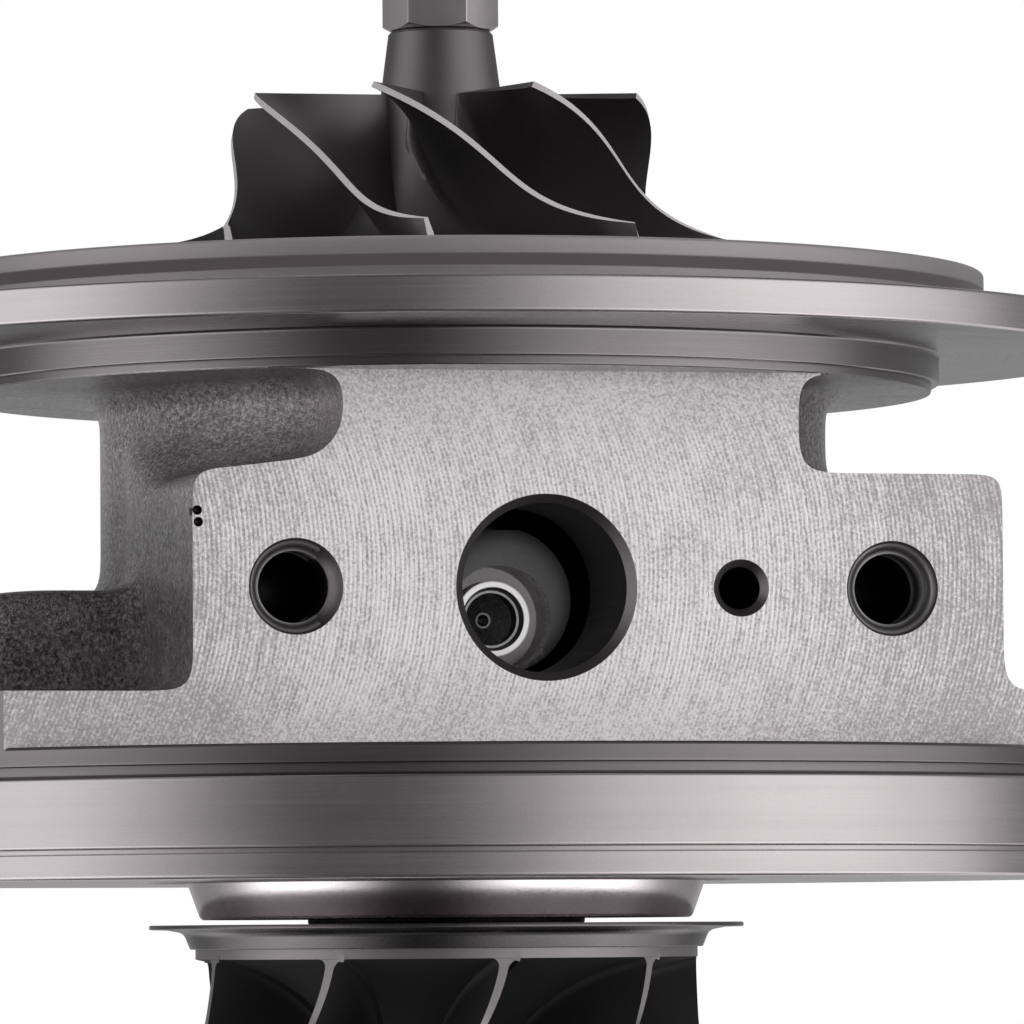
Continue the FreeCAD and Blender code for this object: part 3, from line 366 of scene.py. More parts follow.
def milled_material(name):
    """Arcs of a face mill over grain, with a painted highlight that darkens towards the edges of
    the face.
    """
    material, shader, places = new_material(name)
    off = places.z - ARC_MIDDLE
    bulge = (ARC_RADIUS**2 - off * off).math("MAXIMUM", 1.0).math("SQRT")
    wander = places.noise(6.0) * 0.25 + places.noise(1.4) * 0.2
    turns = (places.x - bulge + wander) * (2 * math.pi / ARC_PITCH)
    wave = turns.math("SINE") * 0.5 + 0.5
    fine = (turns * 2.7).math("SINE") * 0.5 + 0.5
    near_edge = off.math("ABSOLUTE").rise(8.0, 19.0)
    across = places.at(turns * (ARC_PITCH / (2 * math.pi)), off * 0.1, 0.0)
    streak = places.noise(0.5, detail=2.0, point=across)
    patch = places.noise(7.0, detail=3.0)
    arcs = (1 - near_edge * 0.8) * (patch * 0.8 + 0.45)
    grain = places.noise(0.3, detail=4.0, roughness=0.75)
    pores = 1 - places.noise(0.85, detail=2.0).rise(0.22, 0.27)
    # Painted highlight: the face is lighter in its middle and darker towards its edges.
    from_painted_highlight = (places.x * places.x / 1600 + off * off / 1200).math("SQRT")
    tone = (wave - 0.5) * arcs * 0.5 + (streak - 0.5) * arcs * 1.5
    tone = tone + (grain - 0.5) * 3.6 + (patch - 0.5) * 0.6
    mask = (tone + 0.74 - pores * 0.9 - from_painted_highlight.rise(0.35, 1.25) * 0.58).clamped()
    colour = mask.blend(grey(0.46, 0.05), grey(1.0, 0.04))
    rough = (grain - 0.5) * 0.25 + 0.42 - wave * arcs * 0.08
    height = wave * arcs * 0.5 + fine * arcs * 0.15 + grain * 0.5 - pores * 1.5
    give(shader, places, colour, rough, height=height, depth=0.02)
    return material


milled = milled_material("milled_face")

# %% [markdown]
# ## Wheels, nut and small pieces
#
# The compressor wheel is milled from aluminium, and its blades are smooth and satin.
# The turbine wheel is cast in a nickel alloy, darker and duller. Both have ground
# tips, which are far brighter. The nut is plain steel, and the shield is thin sheet.

# %% Make the satin finishes
def satin_material(name, level, roughness, depth=0.01, wear=0.2, metallic=1.0):
    """A plain metal or rubber surface with fine grain and faint clouds."""
    material, shader, places = new_material(name)
    grain = places.noise(0.3, detail=4.0, roughness=0.7)
    cloud = places.noise(5.0, detail=3.0)
    tone = (grain - 0.5) * 0.35 + (cloud - 0.5) * wear * 2
    mask = (tone + 0.5).clamped()
    colour = mask.blend(grey(level * 0.72, METAL_BLUSH), grey(level * 1.2, METAL_BLUSH))
    rough = (grain - 0.5) * 0.14 + (cloud - 0.5) * 0.1 + roughness
    give(shader, places, colour, rough, metallic=metallic, height=grain, depth=depth)
    return material


plate_steel = turned_material("turned_plate", 0.46, 0.42, metallic=0.4)
ground_finish = satin_material("ground_aluminium", 0.82, 0.4, wear=0.03, metallic=0.0)
ground_alloy = satin_material("ground_alloy", 0.4, 0.38, metallic=0.7)
wheel_finish = satin_material("milled_aluminium", 0.2, 0.44)
blasted = satin_material("blasted_steel", 0.9, 0.2, depth=0.006)
faced_iron = satin_material("faced_iron", 0.035, 0.55, depth=0.02, metallic=0.2)
turbine_finish = satin_material("cast_alloy", 0.06, 0.7, depth=0.03, metallic=0.5)
nut_finish = satin_material("nut_steel", 0.66, 0.33, depth=0.006)
pressed_finish = satin_material("pressed_steel", 0.18, 0.27)
hardened_finish = satin_material("hardened_steel", 0.45, 0.3)
screw_finish = satin_material("black_screw", 0.06, 0.45, metallic=0.6)
rubber_finish = satin_material("seal_rubber", 0.02, 0.6, metallic=0.0)

# %% [markdown]
# The tap leaves fine rings in the two bolt holes. The pin in the drain hole has a face
# of circles: a bright ground ring, painted shade in the cup inside it and round its
# outside, and two faint painted highlight lines in the cup.

# %% Make the finishes of the bolt holes and the pin
TAP_RINGS = 0.9
PIN_HEIGHT = 25.3
PIN_RING = (3.1, 3.72)
OUTER_GLINT = ((2.52, 2.6), (2.74, 2.82))
INNER_GLINT = ((0.52, 0.58), (0.72, 0.78))


def thread_material(name, pitch):
    """A tapped hole's rings, which repeat along the hole's depth."""
    material, shader, places = new_material(name)
    ring = (places.y * (2 * math.pi / pitch)).math("SINE") * 0.5 + 0.5
    grain = places.noise(0.3, detail=3.0)
    colour = (ring * 0.8 + grain * 0.3).clamped().blend(grey(0.05, 0.05), grey(0.5, 0.05))
    give(shader, places, colour, 0.36, metallic=0.6, height=ring, depth=0.12)
    return material


def pin_material(name, axis_z, ring_inside, ring_outside):
    """Steel with a bright ground ring on its face, and painted shade inside and outside the
    ring.
    """
    material, shader, places = new_material(name)
    off = places.z - axis_z
    radius = (places.x * places.x + off * off).math("SQRT")
    # Painted shade: the cup inside the ring and the pin outside it are nearly black, and two
    # faint lines in the cup are painted highlights.
    ring = radius.rise(ring_inside - 0.05, ring_inside + 0.05)
    rim = radius.rise(ring_outside - 0.2, ring_outside)
    line = radius.rise(*OUTER_GLINT[0]) - radius.rise(*OUTER_GLINT[1])
    line = line + radius.rise(*INNER_GLINT[0]) - radius.rise(*INNER_GLINT[1])
    grain = places.noise(0.25, detail=3.0, roughness=0.7)
    ring_and_painted_shade = ((ring - rim).clamped() + line * 0.25 + (grain - 0.5) * 0.2).clamped()
    colour = ring_and_painted_shade.blend(grey(0.004, 0.05), grey(0.97, 0.02))
    give(shader, places, colour, 0.4, metallic=0.0, height=grain, depth=0.01)
    return material


thread_finish = thread_material("cut_thread", TAP_RINGS)
pin_finish = pin_material("pin_steel", PIN_HEIGHT, *PIN_RING)
print(len(bpy.data.materials), "materials")

# %% [markdown]
# ## Finishes on the solid model's nodes
#
# The pieces inside the housing keep their solid model's shape, because a lathe made
# them and the solid is exact. Each only needs the finish of its metal.

# %% Paint the nodes
NODE_FINISHES = {
    cast: ["bearing_housing"],
    turned: ["seal_plate"],
    rubber_finish: ["seal_plate_o_ring"],
    screw_finish: [f"seal_plate_screw_{number}" for number in range(1, 5)],
    bronze_finish: ["thrust_bearing", "journal_bearing"],
    pressed_finish: ["oil_baffle", "heat_shield"],
    hardened_finish: [
        "thrust_dowel_1", "thrust_dowel_2", "compressor_piston_ring",
        "turbine_piston_ring_outer", "turbine_piston_ring_inner", "oil_gallery_plug",
        "thrust_collar", "oil_flinger",
    ],
    pin_finish: ["bearing_retaining_pin"],
    shaft_finish: ["rotor_shaft"],
    wheel_finish: ["compressor_wheel"],
    nut_finish: ["lock_nut"],
    turbine_finish: ["turbine_wheel"],
}
for finish, names in NODE_FINISHES.items():
    for name in names:
        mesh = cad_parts[name].data
        mesh.materials.clear()
        mesh.materials.append(finish)
painted = sum(map(len, NODE_FINISHES.values()))
print(painted, "of", len(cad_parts), "nodes painted")

# %% [markdown]
# ## Tools of the bench
#
# The next pieces are shaped with the same few moves: add a block, a cylinder or a
# turned profile, join it, cut with it, and apply a modifier. Each move is written once
# here. All of them work in millimetres. The origin is on the shaft's axis, level with
# the foot of the lower flange.

# %% Select, apply and settle
def pick(piece):
    """Makes this the only selected piece, and the active one."""
    bpy.ops.object.select_all(action="DESELECT")
    piece.select_set(True)
    bpy.context.view_layer.objects.active = piece


def modify(piece, kind, **settings):
    """Adds a modifier with these settings and applies it."""
    pick(piece)
    modifier = piece.modifiers.new("step", kind)
    for name, setting in settings.items():
        setattr(modifier, name, setting)
    bpy.ops.object.modifier_apply(modifier="step")


def settled(name):
    """Names the newest piece and puts its place and size into its mesh."""
    piece = bpy.context.object
    piece.name = name
    bpy.ops.object.transform_apply(location=True, rotation=True, scale=True)
    return piece


# %% Add a cylinder, a block or a turned profile
def cylinder(name, radius, low, high, centre=(0, 0), sides=192):
    """An upright cylinder from one height to another."""
    bpy.ops.mesh.primitive_cylinder_add(
        vertices=sides,
        radius=radius * MM,
        depth=(high - low) * MM,
        location=(centre[0] * MM, centre[1] * MM, (low + high) / 2 * MM),
    )
    return settled(name)


def block(name, low, high):
    """A block between two opposite corners."""
    bpy.ops.mesh.primitive_cube_add(
        size=1,
        location=[(a + b) / 2 * MM for a, b in zip(low, high)],
        scale=[(b - a) * MM for a, b in zip(low, high)],
    )
    return settled(name)


def leaning_block(name, low, high, lean, place):
    """A block tilted about Y by lean degrees, and then moved to a place."""
    piece = block(name, low, high)
    piece.data.transform(Matrix.Rotation(math.radians(lean), 4, "Y"))
    piece.data.transform(Matrix.Translation(Vector(place) * MM))
    return piece


def turned_piece(name, profile, sides=240, ring=False):
    """A profile of (radius, height) points spun round the shaft.

    With ring, the profile is closed on itself. Otherwise both ends are on the shaft.
    """
    points = [(radius * MM, 0, height * MM) for radius, height in profile]
    edges = [(i, i + 1) for i in range(len(points) - 1)]
    if ring:
        edges.append((len(points) - 1, 0))
    mesh = bpy.data.meshes.new(name)
    mesh.from_pydata(points, edges, [])
    piece = placed(name, mesh)
    pick(piece)
    bpy.ops.object.mode_set(mode="EDIT")
    bpy.ops.mesh.select_all(action="SELECT")
    bpy.ops.mesh.spin(
        steps=sides, angle=2 * math.pi, center=(0, 0, 0), axis=(0, 0, 1)
    )
    bpy.ops.mesh.select_all(action="SELECT")
    bpy.ops.mesh.remove_doubles(threshold=1e-7)
    bpy.ops.mesh.normals_make_consistent(inside=False)
    bpy.ops.object.mode_set(mode="OBJECT")
    return piece


def stand_at(piece, place, axis):
    """Turns a piece that stands on +Z to another axis, and moves it to a place."""
    turn = Vector((0, 0, 1)).rotation_difference(Vector(axis)).to_matrix().to_4x4()
    piece.data.transform(Matrix.Translation(Vector(place) * MM) @ turn)
    return piece


# %% Join, cut and keep
def combine(piece, tool, operation):
    """Joins the tool to the piece, or cuts the piece with it, and clears the tool away."""
    modify(piece, "BOOLEAN", operation=operation, object=tool, solver="MANIFOLD")
    bpy.data.objects.remove(tool)


def join(piece, tool):
    """Makes the tool part of the piece."""
    combine(piece, tool, "UNION")


def cut(piece, tool):
    """Takes the tool's shape out of the piece."""
    combine(piece, tool, "DIFFERENCE")


def count(piece):
    """The triangles of a piece, and how many of its edges are open."""
    piece.data.calc_loop_triangles()
    uses = np.zeros(len(piece.data.edges), int)
    loops = np.zeros(len(piece.data.loops), int)
    piece.data.loops.foreach_get("edge_index", loops)
    np.add.at(uses, loops, 1)
    return len(piece.data.loop_triangles), int((uses != 2).sum())


# %% [markdown]
# ## The casting
#
# A casting has no sharp corners: sand needs rounded edges, and molten iron leaves
# fillets of 3 to 5 mm where walls meet. Rounding each edge by hand would take long
# and break at the corners. Here plain cylinders and blocks are joined, remeshed to
# small even squares, and smoothed until every edge and corner is round, just as a
# pattern maker fills and sands a wooden pattern. The drum's top falls away a little on
# the left. Two leaning webs and a chamfered ring fill the corner beside the neck.

# %% Rough out the pattern
BARREL_CENTRE = (2.0, 0.0)
BARREL_RADIUS = 36.0
DRUM_RADIUS = 52.0
DRUM_TOP = 28.2
DRUM_FRONT = -17.0
APRON_TOP = 17.7
APRON_BACK = 17.0
SPIGOT_FOOT = 48.0
FACE_Y = -40.0
SPARE = 12.0
BLOCK_BACK = -8.0
SHOULDER_LEFT = -34.2
DRUM_FALL = -5.0
BOSS_PLACE = (0, -6, 27.5)
WEBS = ((-7, -27.0, 39.1, 7.2), (-45, -20.9, 41.0, 2.6))
ROOT_RING = [(30, 37), (40.5, 37), (40, 39), (36, 43), (30, 43)]
casting = cylinder("housing_casting", BARREL_RADIUS, 4, 60, BARREL_CENTRE)
drum = cylinder("drum", DRUM_RADIUS, 4, DRUM_TOP)
cut(drum, block("front_cut", (-70, -70, 0), (70, DRUM_FRONT, 70)))
fall_place = (-74, 0, DRUM_TOP - 2.6)
cut(drum, leaning_block("fall", (-30, -80, 0), (30, 80, 20), DRUM_FALL, fall_place))
join(casting, drum)
apron = cylinder("apron", 70, 4, APRON_TOP)
cut(apron, block("back_cut", (-80, APRON_BACK, 0), (80, 80, 70)))
join(casting, apron)
join(casting, cylinder("underside", 57, SPIGOT_FOOT, 60))
join(casting, stand_at(cylinder("boss", 6.7, 0, 56), BOSS_PLACE, (1, 0, 0)))
outer = FACE_Y - SPARE
join(casting, block("shoulder", (SHOULDER_LEFT, outer, 8), (45.2, BLOCK_BACK, 38.5)))
join(casting, block("neck", (-19.6, outer, 30), (24.9, BLOCK_BACK, 60)))
for lean, x, z, reach in WEBS:
    ends = ((-reach, outer, -4), (reach, BLOCK_BACK, 0))
    join(casting, leaning_block("web", *ends, lean, (x, 0, z)))
wall_root = turned_piece("wall_root", ROOT_RING, 96, ring=True)
wall_root.data.transform(Matrix.Translation(Vector((*BARREL_CENTRE, 0)) * MM))
within = block("within", (SHOULDER_LEFT, FACE_Y, 36), (-10, BLOCK_BACK, 44))
combine(wall_root, within, "INTERSECT")
join(casting, wall_root)
print("pattern", count(casting))

# %% Round every edge
modify(casting, "REMESH", mode="VOXEL", voxel_size=0.75 * MM, adaptivity=0)
modify(casting, "SMOOTH", factor=0.5, iterations=34)
print("rounded pattern", count(casting))

# %% [markdown]
# ## Machining the casting
#
# The factory then machines only what must fit: it mills the oil face flat, and turns
# the rim and the underside of the spigot. These cuts leave crisp edges against the
# round casting, so they come after the smoothing.

# %% Mill and turn the casting
cut(casting, block("face_mill", (-80, -80, 0), (80, FACE_Y, 70)))
RIM_RADIUS = 65.78
rim_turning = [(RIM_RADIUS, 3), (90, 3), (90, 70), (RIM_RADIUS, 70)]
cut(casting, turned_piece("rim_turning", rim_turning, ring=True))
SKIRT_RADIUS = 48.34
skirt_turning = [(SKIRT_RADIUS, 46.5), (90, 46.5), (90, 70), (SKIRT_RADIUS, 70)]
cut(casting, turned_piece("skirt_turning", skirt_turning, ring=True))
cut(casting, block("top_cut", (-80, -80, 48.5), (80, 80, 80)))
cut(casting, block("foot_cut", (-80, -80, -5), (80, 80, 11.6)))
cut(casting, stand_at(cylinder("boss_end", 9, 48, 60), BOSS_PLACE, (1, 0, 0)))
print("machined casting", count(casting))

# %% [markdown]
# ## The turned flanges
#
# Each flange is a body of revolution, so its profile is drawn once and spun. Lathe
# edges are never knife sharp: a broken edge of 0.2 to 0.5 mm catches a thin line of
# light, which the photograph shows on every step.

# %% Round the corners of a profile
def eased(profile, radii, steps=4):
    """A profile with the corner at each listed point rounded by its radius."""
    out = []
    last = len(profile) - 1
    for i, point in enumerate(profile):
        radius = radii.get(i, 0)
        if not radius or i in (0, last):
            out.append(point)
            continue
        here = Vector(point)
        before = Vector(profile[i - 1]) - here
        after = Vector(profile[i + 1]) - here
        half = before.angle(after) / 2
        reach = min(radius / math.tan(half), before.length * 0.48, after.length * 0.48)
        radius = reach * math.tan(half)
        inward = (before.normalized() + after.normalized()).normalized()
        centre = here + inward * (radius / math.sin(half))
        first = here + before.normalized() * reach - centre
        second = here + after.normalized() * reach - centre
        sweep = first.angle_signed(second)
        for step in range(steps + 1):
            turn = -sweep * step / steps
            c, s = math.cos(turn), math.sin(turn)
            spoke = Vector((c * first.x - s * first.y, s * first.x + c * first.y))
            out.append(tuple(centre + spoke))
    return out


# %% Turn both flanges
TURBINE_FLANGE = [
    (0, -5.4), (11.0, -5.4), (11.0, -4.1), (13.7, -4.1), (13.7, -3.6), (24.1, -3.6),
    (24.4, -3.3), (25.6, 0.0), (66.3, 0.0), (66.3, 2.4), (65.5, 2.4), (65.5, 2.8),
    (66.3, 2.8), (66.3, 9.4), (65.0, 9.7), (65.0, 10.5), (65.8, 10.5), (65.8, 12.1),
    (65.5, 12.4), (0, 12.4),
]
TURBINE_EASING = {1: 0.2, 3: 0.2, 5: 0.3, 6: 0.3, 8: 0.45, 9: 0.2, 12: 0.35, 13: 0.45,
                  16: 0.25, 17: 0.25, 18: 0.25}
COMPRESSOR_FLANGE = [
    (0, 48.0), (48.4, 48.0), (48.4, 48.8), (49.2, 48.8), (49.2, 51.6), (66.3, 51.6),
    (66.3, 55.1), (53.9, 55.1), (53.9, 54.7), (52.7, 54.7), (52.7, 55.1), (0, 55.1),
]
COMPRESSOR_EASING = {1: 0.2, 3: 0.25, 4: 0.4, 5: 0.4, 6: 0.4}
lower = turned_piece("lower_flange", eased(TURBINE_FLANGE, TURBINE_EASING), 288)
upper = turned_piece("upper_flange", eased(COMPRESSOR_FLANGE, COMPRESSOR_EASING), 288)
join(casting, lower)
join(casting, upper)
print("with its flanges", count(casting))

# %% [markdown]
# ## The inside
#
# The bores, the oil cavity and the bearing carrier were cut by machines or cores, and
# the solid model holds them exactly. A turned plug fills the whole middle, the solid
# model is cut out of it, and what is left is the empty space. That space is then cut
# from the casting.

# %% Cut the inside from the solid model
def solid_copy(node):
    """A welded copy of a node of the solid model."""
    copy = placed("copy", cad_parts[node].data.copy())
    copy.data.materials.clear()
    pick(copy)
    bpy.ops.object.mode_set(mode="EDIT")
    bpy.ops.mesh.select_all(action="SELECT")
    bpy.ops.mesh.remove_doubles(threshold=1e-6)
    bpy.ops.object.mode_set(mode="OBJECT")
    return copy


CORE = [(0, -7), (10.4, -7), (10.4, 2), (30, 2), (30, 49.5), (47.9, 49.5), (47.9, 57), (0, 57)]
core = turned_piece("core", CORE, 200)
cut(core, solid_copy("bearing_housing"))
cut(casting, core)
print("hollowed casting", count(casting))

# %% [markdown]
# ## The ports
#
# Four holes open on the oil face: the wide drain, the small feed, and a tapped hole on
# each side for the oil flange's bolts. A cutter for each is turned in profile. The
# tapped holes get a real groove for each turn of the thread. Two small pores, which
# the mill laid open, are cut near the left edge of the face.

# %% Drill the ports
PORT_Z = 27.5
DRAIN = [(0, -1), (8.88, -1), (8.88, -0.03), (8.03, 0.82), (8.03, 14.5), (0, 14.5)]
FEED = [(0, -1), (2.73, -1), (2.73, 0.0), (2.03, 0.7), (2.03, 30.5), (0, 30.5)]
PITCH = 1.25
THREAD_TURNS = 9
THREAD = [(0, -1), (4.55, -1), (4.55, 0.0), (4.3, 0.35), (3.75, 1.1)]
for turn in range(THREAD_TURNS):
    for radius, depth in ((3.4, 1.35), (3.4, 1.5), (3.86, 1.85), (3.86, 2.0)):
        THREAD.append((radius, depth + turn * PITCH))
THREAD += [(3.4, 12.6), (3.4, 14.0), (0, 16.0)]
PORTS = (
    ("drain", 0.0, DRAIN, 160, 9.0),
    ("feed", 19.1, FEED, 72, 2.8),
    ("left_thread", -24.3, THREAD, 72, 4.7),
    ("right_thread", 34.1, THREAD, 72, 4.7),
)
for name, x, profile, sides, _ in PORTS:
    tool = turned_piece(name, profile, sides)
    cut(casting, stand_at(tool, (x, FACE_Y, PORT_Z), (0, 1, 0)))
PORE = [(0, -1), (0.42, -1), (0.46, 0.0), (0.34, 0.6), (0, 0.9)]
PORES = ((-33.75, 34.6), (-33.65, 33.5))
for x, z in PORES:
    cut(casting, stand_at(turned_piece("pore", PORE, 20), (x, FACE_Y, z), (0, 1, 0)))
print("drilled casting", count(casting))

# %% [markdown]
# ## Finishes on the casting
#
# Each cut leaves its own surface, so each face gets a finish by its place: by its
# distance from the shaft, its height, and the hole that it lies in. Where two rules
# name the same face, the later one holds.

# %% Give a piece its finishes
def face_facts(piece):
    """Centres in millimetres and normals of a piece's faces."""
    faces = piece.data.polygons
    centres = np.zeros(len(faces) * 3)
    normals = np.zeros(len(faces) * 3)
    faces.foreach_get("center", centres)
    faces.foreach_get("normal", normals)
    return centres.reshape(-1, 3) / MM, normals.reshape(-1, 3)


def finish_piece(piece, finishes, choice, body, nodes, flat=()):
    """Gives each face its finish, shades the piece and fixes it to its body.

    choice has a finish's number for each face, or is None to keep what each face has.
    A line between two finishes stays sharp, and faces of a flat finish stay level.
    """
    mesh = piece.data
    if choice is None:
        choice = np.zeros(len(mesh.polygons), np.int32)
        mesh.polygons.foreach_get("material_index", choice)
    mesh.materials.clear()
    for finish in finishes:
        mesh.materials.append(finish)
    mesh.polygons.foreach_set("material_index", choice.astype(np.int32))
    pick(piece)
    bpy.ops.object.shade_smooth_by_angle(angle=math.radians(32))
    chosen = np.zeros(len(mesh.polygons), np.int32)
    mesh.polygons.foreach_get("material_index", chosen)
    edge_of = np.zeros(len(mesh.loops), int)
    mesh.loops.foreach_get("edge_index", edge_of)
    face_of = np.repeat(np.arange(len(chosen)), [len(f.vertices) for f in mesh.polygons])
    least = np.full(len(mesh.edges), 99)
    most = np.full(len(mesh.edges), -1)
    np.minimum.at(least, edge_of, chosen[face_of])
    np.maximum.at(most, edge_of, chosen[face_of])
    sharp = np.zeros(len(mesh.edges), bool)
    mesh.edges.foreach_get("use_edge_sharp", sharp)
    mesh.edges.foreach_set("use_edge_sharp", sharp | (least != most))
    smooth = np.zeros(len(mesh.polygons), bool)
    mesh.polygons.foreach_get("use_smooth", smooth)
    mesh.polygons.foreach_set("use_smooth", smooth & ~np.isin(chosen, flat))
    mesh.update()
    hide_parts(*nodes)
    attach(piece, body)
    print(piece.name, count(piece), "faces of each finish", np.bincount(chosen))


# %% Finish the casting
APRON_RIM = (12.45, 20)
FLANGE_GROOVE = (9.45, 12.45)
SPIGOT_WALL = (48.02, 51.61)
CAST, TURNED, MILLED, MOUTH, BORED, DULL, SPIGOT, BLASTED, FACED, TAPPED = range(10)
casting_finishes = (
    cast, turned, milled, turned_dark, bored_dark,
    dull, shaded_spigot_steel, blasted, faced_iron, thread_finish,
)
centres, normals = face_facts(casting)
radius = np.hypot(centres[:, 0], centres[:, 1])
z = centres[:, 2]


def between(low, high):
    """Which faces of the casting have their centre between two heights."""
    return (z > low) & (z < high)


front = (np.abs(centres[:, 1] - FACE_Y) < 0.01) & (normals[:, 1] < -0.99) & (z > 12.5)
rim = radius > RIM_RADIUS - 0.4
low_turned = z < FLANGE_GROOVE[1]
high_turned = (z > SPIGOT_WALL[0]) & (radius > 30)
bored = (radius < 30) & (z < 2) | (radius < 47.8) & (z > 50)
in_port = (centres[:, 1] > FACE_Y + 0.01) & (centres[:, 1] < -24)
ports = np.zeros(len(z), bool)
for _, x, _, _, reach in PORTS:
    ports |= in_port & (np.hypot(centres[:, 0] - x, z - PORT_Z) < reach)
threads = np.abs(centres[:, 0]) > 22
mouth = ports & (centres[:, 1] < FACE_Y + np.where(threads, 6.0, 2.2))
for x, height in PORES:
    pore = np.hypot(centres[:, 0] - x, z - height) < 0.6
    ports |= pore & in_port & (centres[:, 1] < FACE_Y + 1)
boss_face = (np.hypot(centres[:, 0], z - PORT_Z) < 14) & (normals[:, 1] < -0.7)
boss_face &= (centres[:, 1] > -25) & (centres[:, 1] < -8)
pin_pocket = np.hypot(centres[:, 0], z - PIN_HEIGHT) < 5.4
choice = np.full(len(z), CAST)
choice[rim | low_turned | high_turned] = TURNED
choice[rim & between(*APRON_RIM)] = DULL
choice[front] = MILLED
choice[bored] = BORED
choice[ports] = BORED
choice[mouth] = MOUTH
choice[between(*FLANGE_GROOVE) & (radius > 60)] = DULL
choice[between(*SPIGOT_WALL) & (radius > 47.9)] = SPIGOT
choice[(z < -0.01) & (radius > 23.9)] = BLASTED
# Round the pin, the face takes the dark bore finish: painted shade in the pin's pocket.
choice[boss_face] = np.where(pin_pocket, BORED, FACED)[boss_face]
choice[mouth & threads] = TAPPED
finish_piece(
    casting,
    casting_finishes,
    choice,
    "cartridge_housing",
    ["bearing_housing"],
    flat=(MILLED, FACED),
)

# %% [markdown]
# ## The seal plate
#
# The plate that closes the compressor side is a turned disc. Its rim stands proud of a
# neck, and a chamfer joins them. The inside, with the pockets for four screws, is
# cut from the solid model in the same way as the housing's.

# %% Turn the seal plate
PLATE = [
    (0, 45), (38.6, 45), (38.6, 55.1), (52.7, 55.1), (52.7, 57.0), (53.7, 58.0),
    (53.7, 59.7), (0, 59.7),
]
plate = turned_piece("seal_plate_turned", eased(PLATE, {4: 0.2, 5: 0.3, 6: 0.45}), 288)
region = turned_piece("region", [(0, 40), (51.4, 40), (51.4, 62), (0, 62)], 200)
cut(region, solid_copy("seal_plate"))
cut(plate, region)
finish_piece(
    plate, (plate_steel,), None, "cartridge_housing", ["seal_plate"]
)

# %% [markdown]
# ## The heat shield
#
# The shield is pressed from half-millimetre sheet: a flat rim with a short wall that
# turns down towards the turbine. Sheet bends in soft corners, so every corner of the
# profile is eased before it is spun.

# %% Press the heat shield
SHIELD = [
    (11.1, -4.1), (29.4, -4.1), (29.4, -4.55), (27.6, -4.6), (26.0, -4.9), (25.35, -6.5),
    (24.95, -6.5), (25.5, -4.6), (11.1, -4.55),
]
SHIELD_EASING = {1: 0.2, 2: 0.2, 3: 1.5, 4: 0.9, 5: 0.15, 6: 0.15, 7: 0.5}
shield = turned_piece("heat_shield_pressed", eased(SHIELD, SHIELD_EASING), 240, ring=True)
finish_piece(
    shield, (pressed_finish,), None, "cartridge_housing", ["heat_shield"]
)

# %% [markdown]
# ## Blades
#
# Each blade is a ruled sheet between a root line on the hub and a tip line under the
# housing's shroud. A flat grid is laid onto those lines, and Solidify gives it
# thickness. A vertex group makes it thick at the root, thin at the tip, and flared
# near the hub, where a real blade has a fillet. A compressor blade grows from one face
# only, with its fillet on the hollow side. The strip round the grid's edge gets the
# second finish, because tips are ground bright, except along a compressor's inlet.

# %% Shape one blade
def bezier(points, share):
    """A point on a Bezier curve, by repeated blending of neighbouring points."""
    level = [np.array(point, float) for point in points]
    while len(level) > 1:
        level = [(1 - share) * a + share * b for a, b in zip(level, level[1:])]
    return level[0]


def on_wheel(line, turns, share):
    """A point in millimetres on a blade's edge line."""
    radius, height = bezier(line, share)
    turn = math.radians(bezier(turns, share))
    return Vector((radius * math.sin(turn), -radius * math.cos(turn), height))


FILLET_ROWS = (0.0, 0.005, 0.02, 0.05, 0.1, 0.19, 0.33, 0.52, 0.75, 1.0)
UPPER_ROWS = 9
BLADE_SINK = 0.8
FADE_SHARE = 0.12
TIP_SHARE = 0.985


